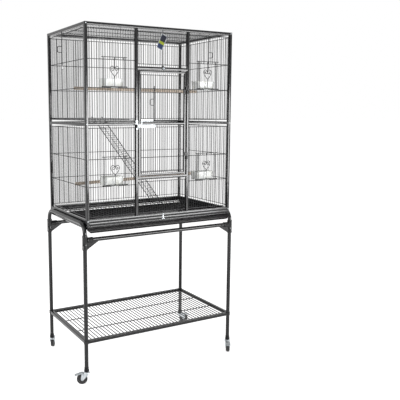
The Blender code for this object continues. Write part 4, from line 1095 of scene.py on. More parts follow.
@dataclass
class FrontWall(Assembly):
    """The front: posts, rails and mullions, the mesh of its bays, and its screws and fixings."""

    tie_count: int = 8
    screw_r: float = 0.0022
    boss_r: float = 0.0062
    fixing_x: float = 0.002

    def frame(self) -> None:
        """Build the tube frame with the lower halves of the door hinges."""
        s = self.sizes
        front, back = -s.outer_y, -s.inner_y
        posts = ((s.inner_x, s.outer_x, s.under_z, s.top_z),
                 (s.mullion_x - s.half, s.mullion_x + s.half, s.under_z + s.tube - s.lap,
                  s.top_z - s.tube + s.lap),
                 (s.mullion_x + s.half - s.lap, s.inner_x + s.lap, s.mid_z - s.half,
                  s.mid_z + s.half))
        work = Workpiece()
        for near, far, low, high in posts:
            for x0, x1 in both(near, far):
                work.square_bar((x0, front, low), (x1, back, high))
        for reach, middle in ((s.inner_x, s.under_z + s.half), (s.inner_x, s.top_z - s.half),
                              (s.mullion_x - s.half, s.sill_z),
                              (s.mullion_x - s.half, s.header_z)):
            reach += s.lap
            work.square_bar((-reach, front, middle - s.half), (reach, back, middle + s.half))
        hinge, r = s.hinge, s.hinge_pin_r
        for z in s.hinge_heights:
            self.knuckle(work, z)
            work.turned([(0, z + 0.008), (r, z + 0.008), (r, z + 0.0335), (0, z + 0.034)],
                        Matrix.Translation(hinge), 16)
            work.square_bar((hinge.x + 0.001, hinge.y - 0.0013, z + s.gap),
                            (s.mullion_x - 0.0013, front + 0.0006, z + s.knuckle_l - s.gap), 0.0006)
        work.fitted("front_frame_tubes", COAT, MAIN, "front_frame")

    def bay_mesh(self, side: Side, level: Level) -> None:
        """Build the wires of one storey of a bay, with its feeder opening.

        Args:
            side: Which bay.
            level: Which storey.
        """
        s = self.sizes
        bottom, top, z_low, z_high = s.level(level)
        low, high = s.bay(side)
        xs = s.row(low, high)
        left, right = s.guides(side)
        y, inside = -s.half_y, s.shift - s.half_y
        work = Workpiece()
        for x0, x1, at, z in ((low, high, y, bottom), (low, high, y, top), (left, right, y, z_low),
                              (left, right, y, z_high), (low, high, inside, z_low),
                              (low, high, inside, z_high)):
            work.wire((x0, at, z), (x1, at, z), s.cross_r)
        whole = [(bottom - s.trim, top + s.trim)]
        cut = [(bottom - s.trim, z_low + s.cross_r * 0.6), (z_high - s.cross_r * 0.6, top + s.trim)]
        for x in xs:
            for z0, z1 in cut if left + s.gap < x < right - s.gap else whole:
                work.wire((x, y, z0), (x, y, z1), s.mesh_r)
        for x in xs[self.tie_count // 2::self.tie_count]:
            for z, rail in ((bottom, bottom - s.end_in), (top, top + s.end_in)):
                work.wire((x, y, z), (x, y, rail), s.mesh_r)
        past = s.cross_r * 1.2
        for x in (low + s.cross_r, high - s.cross_r):
            work.wire((x, y, bottom - past), (x, y, top + past), s.cross_r)
        name = f"front_mesh_{level.label}_{side.label}"
        work.fitted(name + "_wires", COAT, MAIN, name)

    def centre_mesh(self, name: str, z_low: float, z_high: float, stiff: bool) -> None:
        """Build the wires above or below the door.

        Args:
            name: The node that the wires stand for.
            z_low: Top of the rail below them.
            z_high: Underside of the rail above them.
            stiff: The middle wire is a stiffer one that runs from rail to rail.
        """
        s = self.sizes
        edge = s.mullion_x - s.half - s.gap
        xs = s.row(-edge, edge)
        y = -s.half_y
        ends = z_low + s.end_in, z_high - s.end_in
        work = Workpiece()
        for z in ends:
            work.wire((-edge, y, z), (edge, y, z), s.cross_r)
        for i, x in enumerate(xs):
            if stiff and i == len(xs) // 2:
                work.wire((x, y, z_low), (x, y, z_high), s.wire_r * 1.2, 12)
                work.ball((x, y - 0.0005, z_low + 0.0035), 0.0042, (1, 0.7, 1))
            else:
                work.wire((x, y, ends[0] - s.trim), (x, y, ends[1] + s.trim), s.mesh_r)
        work.fitted(name + "_wires", COAT, MAIN, name)

    def screws(self) -> None:
        """Build the pan-head screws that hold the front to the end walls."""
        s = self.sizes
        r = self.screw_r
        head = [(0, 0), (r, 0), (r, 0.0009), (r * 0.85, 0.0018), (r * 0.5, 0.0023),
                (0.0009, 0.0024), (0.0009, 0.0012), (0, 0.0012)]
        washer = [(0, 0), (r * 1.35, 0), (r * 1.35, 0.0005), (0, 0.0005)]
        work = Workpiece()
        for x in (-s.half_x, s.half_x):
            for z in (s.top_z - s.half, s.mid_z, s.under_z + s.half):
                for profile in (washer, head):
                    work.turned(profile, facing_front(x, -s.outer_y, z), 24)
        work.fitted("front_screws", ZINC, MAIN)

    def fixings(self) -> None:
        """Build the domed nut on the header rail and the clip that ties the cage to its base."""
        s = self.sizes
        face, r, x = -s.outer_y, self.boss_r, self.fixing_x
        dome = [(0, 0), (r, 0), (r, 0.0012), (r * 0.86, 0.0016), (r * 0.8, 0.0034),
                (r * 0.55, 0.0054), (0, 0.0062)]
        inner = r + 0.0002
        washer = [(inner, 0), (r * 1.45, 0), (r * 1.45, 0.0008), (r * 1.35, 0.0014),
                  (inner, 0.0014)]
        for name, profile, finish in (("header_nut", dome, ZINC), ("header_washer", washer, NYLON)):
            boss = Workpiece()
            boss.turned(profile, facing_front(x, face, s.header_z), 32)
            boss.fitted(name, finish, MAIN)
        clip = Workpiece()
        low, high, lip, corner = s.base_z + 0.0006, s.under_z + s.tube - 0.0006, 0.0014, 0.0006
        clip.square_bar((-0.0015, face - lip, low), (0.0055, face, high), corner)
        clip.square_bar((-0.006, face - lip * 2.4, low), (0.010, face + 0.0002, low + 0.0026),
                        corner)
        head = [(0, 0), (0.0032, 0), (0.0032, 0.0010), (0.0026, 0.0020), (0.0014, 0.0026),
                (0, 0.0027)]
        for z in (s.base_z + s.base_h * 0.5, s.under_z + s.tube * 0.5):
            clip.turned(head, facing_front(x, face - lip, z), 24)
        clip.fitted("rail_clip", ZINC, MAIN, edge=0.0003)

    def build(self) -> None:
        """Build the frame, the bays, the wires above and below the door, and the fixings."""
        s = self.sizes
        self.frame()
        for side in Side:
            for level in Level:
                self.bay_mesh(side, level)
        self.centre_mesh("header_mesh", s.header_z + s.half, s.top_z - s.tube, True)
        self.centre_mesh("sill_mesh", s.under_z + s.tube, s.sill_z - s.half, False)
        self.screws()
        self.fixings()


# Door, latch and slide rods

@dataclass
class Door(Assembly):
    """The main door: a tube frame with mesh, on two lift-off hinges, with a latch and the rods."""

    corner: float = 0.0012
    rod_x: float = -0.048
    handle_out: float = 0.022
    handle_h: float = 0.028
    handle_at: float = 0.072
    latch_x: float = -0.045
    latch_drop: float = 0.010
    latch_l: float = 0.101
    latch_t: float = 0.0025
    latch_h: float = 0.011
    knob_r: float = 0.008
    pin_r: float = 0.002

    @property
    def reach(self) -> float:
        """Half the width of the door."""
        return self.sizes.mullion_x - self.sizes.half - self.sizes.door_gap

    @property
    def face(self) -> float:
        """Front face of the door's tubes."""
        return -self.sizes.half_y - self.sizes.door_tube / 2

    @property
    def rod_y(self) -> float:
        """Where the door's rod stands, in front of its middle rail."""
        return self.face - self.sizes.gap - self.sizes.rod_r

    @property
    def latch_y(self) -> float:
        """Middle of the thickness of the latch lever."""
        return -(self.sizes.outer_y + self.sizes.gap * 2 + self.latch_t / 2)

    @property
    def latch_z(self) -> float:
        """Height of the latch's pivot."""
        return self.sizes.mid_z - self.latch_drop

    def leaf(self) -> None:
        """Build the door's frame, mesh, rod eyes, latch tab and upper knuckles."""
        s = self.sizes
        tube, half, lap, middle = s.door_tube, s.door_tube / 2, 0.001, -s.half_y
        back = middle + half
        low_z, high_z = s.door_ends
        work = Workpiece()
        for x0, x1 in both(self.reach - tube, self.reach):
            work.square_bar((x0, self.face, low_z), (x1, back, high_z), self.corner)
        inner = self.reach - tube + lap
        for low in (low_z, s.mid_z - half, high_z - tube):
            work.square_bar((-inner, self.face, low), (inner, back, low + tube), self.corner)
        ends = (low_z + tube + s.end_in, s.mid_z - half - s.end_in, s.mid_z + half + s.end_in,
                high_z - tube - s.end_in)
        for y, heights in ((middle, ends), (s.shift + middle, s.crossings[1:3])):
            for z in heights:
                work.wire((-inner, y, z), (inner, y, z), s.cross_r)
        for x in s.row(tube - self.reach, self.reach - tube):
            for low, high in (ends[:2], ends[2:]):
                work.wire((x, middle, low - s.trim), (x, middle, high + s.trim), s.mesh_r)
        x, y = self.rod_x, self.rod_y
        for z, wire_y in ((ends[2], middle), (s.crossings[1], middle + s.shift - s.cross_r)):
            self.eye(work, (x, y, z), 0.0024, 0.0014)
            work.square_bar((x - 0.003, y + 0.0032, z - 0.0016), (x + 0.003, wire_y, z + 0.0016),
                            0.0005)
        work.square_bar((self.latch_x - self.latch_h, self.face + s.gap,
                         self.latch_z - self.latch_h / 2),
                        (self.latch_x + self.latch_h, back - s.gap, s.mid_z - half + lap), 0.0008)
        hinge = s.hinge
        for start in (z + s.knuckle_l + s.gap for z in s.hinge_heights):
            self.knuckle(work, start)
            work.square_bar((self.reach - half, hinge.y - 0.0013, start + s.gap),
                            (hinge.x - 0.001, self.face + 0.0006, start + s.knuckle_l - s.gap),
                            0.0006)
        work.fitted("door_leaf", COAT, "door", "door")

    def latch(self) -> None:
        """Build the lever, its knob and its pivot pin."""
        s = self.sizes
        y, z, half, t = self.latch_y, self.latch_z, self.latch_h / 2, self.latch_t
        left, ease = self.latch_x - self.latch_l, 0.001
        turns = [math.pi * step / 12 - QUARTER for step in range(13)]
        outline = [(left, z - half + ease), (left + ease, z - half)]
        outline += [(self.latch_x + half * math.cos(a), z + half * math.sin(a)) for a in turns]
        outline += [(left + ease, z + half), (left, z + half - ease)]
        lever = Workpiece()
        lever.pressed(outline, t, facing_front(0, y + t / 2, 0))
        lever.fitted("latch_strap", ZINC, "latch", "latch_lever", edge=0.0004)

        base, r = t / 2 + s.gap, self.knob_r
        grip = Workpiece()
        grip.turned([(0, base), (r * 0.5, base), (r * 0.44, base + r * 0.25),
                     (r * 0.5, base + r * 0.45), (r * 0.95, r * 0.75), (r, r * 0.95),
                     (r * 0.97, r * 1.2), (r * 0.82, r * 1.45), (r * 0.45, r * 1.58), (0, r * 1.6)],
                    facing_front(left, y, z), 40)
        grip.fitted("latch_grip", NYLON, "latch", "latch_knob", angle=60)

        head, p = y - t / 2 - s.gap, self.pin_r
        pin = Workpiece()
        pin.turned([(0, -s.half_y), (p, -s.half_y), (p, head), (p * 2, head),
                    (p * 2, head - p * 0.5), (p * 1.4, head - p * 0.9), (0, head - p)],
                   Matrix.Translation((self.latch_x, 0, z)) @ Matrix.Rotation(-QUARTER, 4, "X"), 28)
        pin.fitted("latch_rivet", ZINC, "door", "latch_pin")

    def keeper(self) -> None:
        """Build the keeper on the mullion, which the lever drops into."""
        s = self.sizes
        x, z, half, t = -s.mullion_x, self.latch_z, self.latch_h / 2, self.latch_t
        floor_z = z - half - s.gap
        front, back = self.latch_y - t / 2 - s.gap, -(s.outer_y + s.gap)
        hook = [(back, floor_z - t * 4), (back - t * 0.6, floor_z - t * 4),
                (back - t * 0.6, floor_z - t * 1.5), (front, floor_z - t),
                (front - t * 0.9, floor_z - t * 0.4), (front - t, floor_z), (back, floor_z)]
        work = Workpiece()
        work.drawn(hook, (x - half * 0.6, x + half))
        work.square_bar((x - 0.0057, back - 0.0003, z - 0.007),
                        (x + 0.0057, back + 0.0003, z + 0.027), 0.0001)
        work.fitted("latch_keeper", ZINC, MAIN, "latch_catch", edge=0.0003)

    def plate(self) -> None:
        """Build the two-strip plate behind the lever and its bent spring."""
        s = self.sizes
        left, z = -0.114, s.mid_z
        plate = Workpiece()
        # The upper strip is shorter, so that the door's rod drops past its end.
        for right, low, high in ((-0.0405, -0.0175, -0.0055), (-0.0525, 0.0115, 0.0200)):
            plate.pressed([(left, z + low), (right, z + low), (right, z + high), (left, z + high)],
                          0.0012, facing_front(0, self.face + 0.0001, 0))
        plate.square_bar((left + 0.0002, self.face - 0.0009, z - 0.006),
                         (left + 0.0038, self.face - 0.0001, z + 0.012), 0.0002)
        plate.fitted("latch_plate", ZINC, "door", edge=0.0003)
        upper = [(-0.1185, 0.016), (-0.1235, 0.013), (-0.1262, 0.006)]
        bend = upper + [(x, -rise) for x, rise in reversed(upper)]
        spring = Workpiece()
        spring.round_bar(eased([(x, self.face - 0.0008, z + rise) for x, rise in bend], 5),
                         0.0007, 10)
        spring.fitted("latch_spring", NYLON, "door")

    def slide_rod(self, tip: Vector, end_z: float, out: Vector) -> Workpiece:
        """Make a slide rod with its D handle.

        Args:
            tip: The point of its working tip.
            end_z: Height of its other end, from the tip.
            out: Level direction in which the handle stands.

        Returns:
            The workpiece.
        """
        sign = math.copysign(1, end_z)
        r = self.sizes.rod_r
        work = Workpiece()
        work.turned([(0, 0), (r * 0.7, 0), (r, sign * 0.0008), (r, end_z - sign * 0.0005),
                     (r * 0.8, end_z), (0, end_z)], Matrix.Translation(tip), 20)
        near = tip + Vector((0, 0, sign * self.handle_at))
        rise = Vector((0, 0, sign * self.handle_h))
        side = ((0.0, 0.0), (0.55, 0.0), (0.92, 0.08), (1.0, 0.3))
        bow = side + tuple((a, 1 - b) for a, b in reversed(side))
        work.round_bar(eased([near + out * self.handle_out * a + rise * b for a, b in bow], 6),
                       r * 0.75, 12)
        return work

    def rods(self) -> None:
        """Build the rods of the two end walls, tips up, and the rod of the door, tip down."""
        s = self.sizes
        for side in Side:
            tip = Vector((side.value * s.half_x, side.value * -4 * s.pitch, s.rod_top_z))
            work = self.slide_rod(tip, s.crossings[0] - s.rod_tail - s.rod_top_z,
                                  Vector((side.value, 0, 0)))
            work.fitted(f"end_rod_{side.label}", COAT, f"{side.label}_rod",
                        f"slide_rod_{side.label}")
        tip_z = s.mid_z + s.door_tube / 2 + s.end_in - 0.004
        work = self.slide_rod(Vector((self.rod_x, self.rod_y, tip_z)),
                              s.crossings[1] + s.rod_tail - tip_z, Vector((-1, 0, 0)))
        work.fitted("door_slide_rod", COAT, "door_rod", "slide_rod_door")

    def build(self) -> None:
        """Build the leaf, the latch with its keeper and plate, and the slide rods."""
        self.leaf()
        self.latch()
        self.keeper()
        self.plate()
        self.rods()


# Feeders

@dataclass
class Feeders(Assembly):
    """The four lift-up feeder doors with their heart scrolls, and the seed cups behind them."""

    rise: float = 0.010
    bar: float = 0.005
    heart: float = 0.044
    heart_up: float = 0.046
    cup_d: float = 0.058
    cup_h: float = 0.040
    cup_wall: float = 0.002
    cup_side: float = 0.005
    draft: float = 0.003
    tongue_t: float = 0.001

    def scroll(self, work: Workpiece, x: float, y: float, tip: float) -> None:
        """Add the heart scroll: two mirrored wires that meet at the tip and curl in at the top.

        Args:
            work: The door being made.
            x: Middle of the heart.
            y: Plane of the heart.
            tip: Height of its tip.
        """
        side = ((0.0, 0.0), (0.13, 0.13), (0.30, 0.33), (0.44, 0.56), (0.485, 0.78), (0.40, 0.95),
                (0.25, 1.0), (0.11, 0.92), (0.05, 0.77), (0.10, 0.63), (0.22, 0.58), (0.31, 0.66),
                (0.29, 0.77), (0.21, 0.80))
        for sign in (-1, 1):
            curl = [(x + sign * a * self.heart, y, tip + b * self.heart) for a, b in side]
            work.round_bar(eased(curl, 4), self.sizes.cross_r * 0.95, 10)
            work.ball(curl[-1], self.sizes.cross_r * 1.25)

    def door(self, side: Side, level: Level) -> None:
        """Build one feeder door: two bars, double side wires, the scroll, end knobs and hooks.

        Args:
            side: Which bay.
            level: Which storey.
        """
        s = self.sizes
        r = s.cross_r
        x = sum(s.guides(side)) / 2
        span = s.feeder_count * s.pitch / 2
        _, _, z_low, z_high = s.level(level)
        low, high = z_low + r + s.gap + self.bar / 2, z_high + self.rise
        y = -(s.half_y + r * 2 + s.gap * 2 + self.tongue_t)
        bar_y = y + r - self.bar / 2
        behind = -s.half_y + r + s.gap + r * 0.4
        grip, hook, bend = span + r + s.gap, r * 1.2, 0.0006
        reach = grip + hook
        work = Workpiece()
        work.wire((x - reach, y, high), (x + reach, y, high), r, 12)
        work.wire((x - reach, bar_y, low), (x + reach, bar_y, low), self.bar / 2, 16)
        for sign in (-1, 1):
            work.ball((x + sign * (reach - bend), bar_y, low), self.bar * 0.62)
            work.ball((x + sign * reach, y, high), r * 1.35)
            for offset in (sign * (span - r * 2), sign * (span - r * 7)):
                work.wire((x + offset, y, low), (x + offset, y, high), s.wire_r)
            turn = x + sign * (grip + hook * 0.5)
            work.round_bar([(turn, y, high), (turn, behind - bend, high),
                            (turn - sign * bend, behind, high),
                            (x + sign * (span - r * 0.5), behind, high)], r * 0.6, 8)
        tip = low + self.heart_up
        meet = tip + self.heart * 0.84
        work.wire((x, y, low), (x, y, tip + r), s.wire_r)
        work.wire((x, y, meet), (x, y, high), s.wire_r)
        for sign in (-1, 1):
            work.wire((x, y, meet), (x + sign * 0.05 * self.heart, y, tip + self.heart * 0.8),
                      r * 0.8)
        self.scroll(work, x, y, tip)
        name = f"feeder_door_{level.label}_{side.label}"
        work.fitted(name + "_scroll", COAT, name, name)

    def cup(self, side: Side, level: Level) -> None:
        """Build one seed cup: tapered walls, a rolled rim, rounded corners and a hanging tongue.

        Args:
            side: Which bay.
            level: Which storey.
        """
        s = self.sizes
        x = sum(s.guides(side)) / 2
        wide = s.feeder_count * s.pitch / 2 - s.cross_r - self.cup_side
        front = -s.half_y + s.wire_r + s.cross_r * 2 + s.gap * 3
        back = front + self.cup_d
        z_low = s.level(level)[2]
        floor_z = z_low + s.cross_r + s.gap
        h, t = self.cup_h, self.cup_wall
        # Each line is an inset, a rise and 1 where the draft of the wall no longer counts.
        lines = ((0.0020, 0.0, 0.0), (0.0006, 0.0006, 0.0), (0.0, 0.0018, 0.0),
                 (0.0, h - 0.003, 1.0), (-0.0010, h - 0.0026, 1.0), (-0.0014, h - 0.0012, 1.0),
                 (-0.0008, h, 1.0), (t * 0.6, h, 1.0), (t, h - 0.0008, 1.0), (t, 0.005, 0.1),
                 (t + 0.0012, t + 0.0008, 0.0), (t + 0.004, t, 0.0))
        loops = []
        for inset, rise, opened in lines:
            drawn = self.draft * (1 - opened) * (1 - rise / h * (1 - opened)) + inset
            corner = max(0.0095 - inset - drawn * 0.3, 0.003)
            loops.append(rounded_loop(x - wide + drawn, x + wide - drawn, front + drawn,
                                      back - drawn, floor_z + rise, corner))
        work = Workpiece()
        work.skin(loops)
        hang, inner, tongue = -s.half_y - s.cross_r - s.gap, front + self.draft * 1.5, self.tongue_t
        work.drawn([(inner, floor_z), (hang, floor_z), (hang, z_low), (hang - tongue, z_low),
                    (hang - tongue, floor_z + 0.0012), (hang - 0.0004, floor_z + t),
                    (inner, floor_z + t)], (x - wide / 3, x + wide / 3))
        name = f"cup_{level.label}_{side.label}"
        work.fitted(name + "_moulding", CUP_WHITE, MAIN, name)

    def build(self) -> None:
        """Build every feeder door and cup."""
        for side in Side:
            for level in Level:
                self.door(side, level)
                self.cup(side, level)


# Perches, platform, ladder and tag

@dataclass
class Fittings(Assembly):
    """What hangs in and on the cage: two perches, a wire platform, its ladder and the card tag."""

    perch_r: float = 0.0075
    perch_left_y: float = -0.085
    perch_right_y: float = 0.058
    platform_x: float = -0.165
    ladder_y: Pair = (0.088, 0.212)
    ladder_tilt: float = 53.0
    ladder_r: float = 0.002
    rung: float = 0.013
    tag_w: float = 0.032
    tag_h: float = 0.070
    tag_t: float = 0.001
    loop_r: float = 0.0004

    def perch(self, name: str, crossing: float) -> None:
        """Build a dowel whose ends are half cut away to rest on the cross wires.

        Args:
            name: The node it stands for.
            crossing: Height of the cross wires that carry it.
        """
        s = self.sizes
        r = self.perch_r
        z = crossing + s.cross_r + s.gap
        slope = (self.perch_right_y - self.perch_left_y) / (2 * s.half_x)
        middle = (self.perch_left_y + self.perch_right_y) / 2
        end = s.half_x - s.wire_r - s.gap * 2 - r * abs(slope)
        inner = s.half_x - s.wire_r - s.cross_r * 2 - s.gap * 3
        flat = 0.0002
        work = Workpiece()
        work.skin([[(x, middle + x * slope + r * math.cos(a), z + r * math.sin(a))
                    for a in (2 * math.pi * k / 32 for k in range(32))]
                   for x in (-inner, flat - inner, inner - flat, inner)])
        for sign in (-1, 1):
            rings = []
            for x, grow in ((inner - 0.001, 1.0), (end - 0.0006, 1.0), (end, 0.93)):
                x, wide = sign * x, r * grow
                rings.append([(x, middle + x * slope + wide * math.cos(a),
                               z + flat + (wide - flat) * math.sin(a))
                              for a in (math.pi * k / 16 for k in range(17))])
            work.skin(rings)
        work.fitted(name + "_dowel", PINE, MAIN, name)

    def platform(self) -> None:
        """Build the half shelf: square bar frame, wires both ways, and hooks over the end wires."""
        s = self.sizes
        bar, lap = s.shelf_bar, s.bar_lap
        z0 = s.ends[2] + s.cross_r + s.gap
        z1 = z0 + bar
        middle = (z0 + z1) / 2
        x0, x1 = -s.inner_x + s.gap * 3, self.platform_x + bar / 2
        y_end = s.inner_y - bar
        work = Workpiece()
        for low in (x0, x1 - bar):
            work.square_bar((low, -y_end, z0), (low + bar, y_end, z1), s.bar_corner)
        for y0, y1 in both(y_end - bar, y_end):
            work.square_bar((x0 + bar - lap, y0, z0), (x1 - bar + lap, y1, z1), s.bar_corner)
        y, z = y_end - bar / 2, middle + 0.0013
        for x in s.row(x0 + bar, x1 - bar * 2.2):
            work.wire((x, -y, z), (x, y, z), s.mesh_r)
        z = middle - 0.0008
        for at in (-y_end / 3, y_end / 3):
            work.wire((x0 + bar / 2, at, z), (x1 - bar / 2, at, z), s.mesh_r)
        over = s.half_y + s.cross_r + s.gap
        rows = ((-1, s.row(*s.bay(Side.LEFT))), (1, s.row(-s.inner_x, s.inner_x)))
        for near in (x0 + 0.030, x1 - 0.030):
            for sign, xs in rows:
                x = min(((a + b) / 2 for a, b in zip(xs, xs[1:])), key=lambda m: abs(m - near))
                hook = ((y, middle - 0.0012), (over - 0.0012, middle - 0.0012),
                        (over + 0.0006, middle - 0.0024), (over + 0.0008, z0 - 0.0026))
                work.round_bar(eased([(x, sign * a, b) for a, b in hook], 4), s.mesh_r, 10)
        work.fitted("platform_grille", COAT, MAIN, "platform")

    def ladder(self) -> None:
        """Build the ladder: two hooked rails, close rungs and a wire under their middle."""
        s = self.sizes
        pivot = Vector((self.platform_x, 0, s.ends[2] + s.cross_r + s.gap + s.shelf_bar / 2))
        tilt = math.radians(self.ladder_tilt)
        down = Vector((math.cos(tilt), 0, -math.sin(tilt)))
        out = Vector((math.sin(tilt), 0, math.cos(tilt)))
        hook_r = s.shelf_bar * 0.75 + s.gap + self.ladder_r
        drop = pivot.z - s.grate_top - s.gap * 2 - self.ladder_r + hook_r * math.cos(tilt)
        length = drop / math.sin(tilt)
        work = Workpiece()
        for y in self.ladder_y:
            turns = [math.pi * (1 - step / 18) for step in range(10)]
            points = [pivot + (down * math.cos(a) + out * math.sin(a)) * hook_r for a in turns]
            points.append(pivot + out * hook_r + down * length)
            work.round_bar([(p.x, y, p.z) for p in points], self.ladder_r, 12)
            work.ball((points[-1].x, y, points[-1].z), self.ladder_r * 1.05)
        for i in range(int((length - hook_r - self.rung) / self.rung)):
            at = pivot + out * hook_r + down * (hook_r + self.rung / 2 + i * self.rung)
            work.wire(*((at.x, y, at.z) for y in self.ladder_y), s.mesh_r)
        under = pivot + out * (hook_r - s.mesh_r * 1.9)
        ends = (under + down * hook_r * 1.6, under + down * (length - self.rung))
        work.wire(*((p.x, sum(self.ladder_y) / 2, p.z) for p in ends), s.mesh_r)
        work.fitted("climbing_ladder", COAT, "ladder", "ladder")

    def tag(self) -> None:
        """Build the card tag, tilted on its corner hole, and the wire loop that holds it."""
        s = self.sizes
        x0, y, pivot_z = -s.pitch / 2, -(s.half_y + s.cross_r * 2 + s.gap * 3), s.ends[3]
        tilt = math.atan2(self.tag_w, self.tag_h)
        diagonal = math.hypot(self.tag_w, self.tag_h) / 2
        centre = Vector((x0, y, pivot_z - s.cross_r * 6 - diagonal * 0.86))
        half_w, half_h = self.tag_w / 2, self.tag_h / 2
        outline = [(p.x, p.y) for p in rounded_loop(-half_w, half_w, -half_h, half_h, 0, 0.003)]
        work = Workpiece()
        work.pressed(outline, self.tag_t / 2, facing_front(0, self.tag_t / 4, 0))
        sheet = work.mesh.loops.layers.uv.new("card")
        for face in work.mesh.faces:
            flat = abs(face.normal.y) > 0.5 or len(face.verts) > 4
            for loop in face.loops:
                at = loop.vert.co
                printed = (at.x / self.tag_w + 0.5, at.z / self.tag_h + 0.5)
                loop[sheet].uv = printed if flat else (0.0, 0.0)
        work.placed(Matrix.Translation(centre) @ Matrix.Rotation(tilt, 4, "Y"))
        work.fitted("hang_tag_card", CARD, "tag", "hang_tag")

        inner, low = s.cross_r + s.gap * 2, centre.z - pivot_z + diagonal * 0.80
        front, wire_y = y - self.tag_t / 2, -s.half_y
        path = ((y + 0.0009, low), (y + 0.0006, -0.004), (y + 0.0012, inner),
                (wire_y, inner + 0.0016), (wire_y + inner + 0.0006, 0.0006),
                (wire_y + inner * 0.5, -inner - 0.0008), (front + 0.0012, -inner - 0.0024),
                (front, -0.008), (front, low), (y, low - 0.0012))
        ring = Workpiece()
        ring.round_bar(eased([(x0, a, pivot_z + b) for a, b in path], 5, closed=True),
                       self.loop_r, 8, closed=True)
        ring.fitted("hang_tag_loop", ZINC, "tag")

    def build(self) -> None:
        """Build the perches, the platform, the ladder and the tag."""
        self.perch("perch_upper", self.sizes.crossings[1])
        self.perch("perch_lower", self.sizes.crossings[3])
        self.platform()
        self.ladder()
        self.tag()


# Base

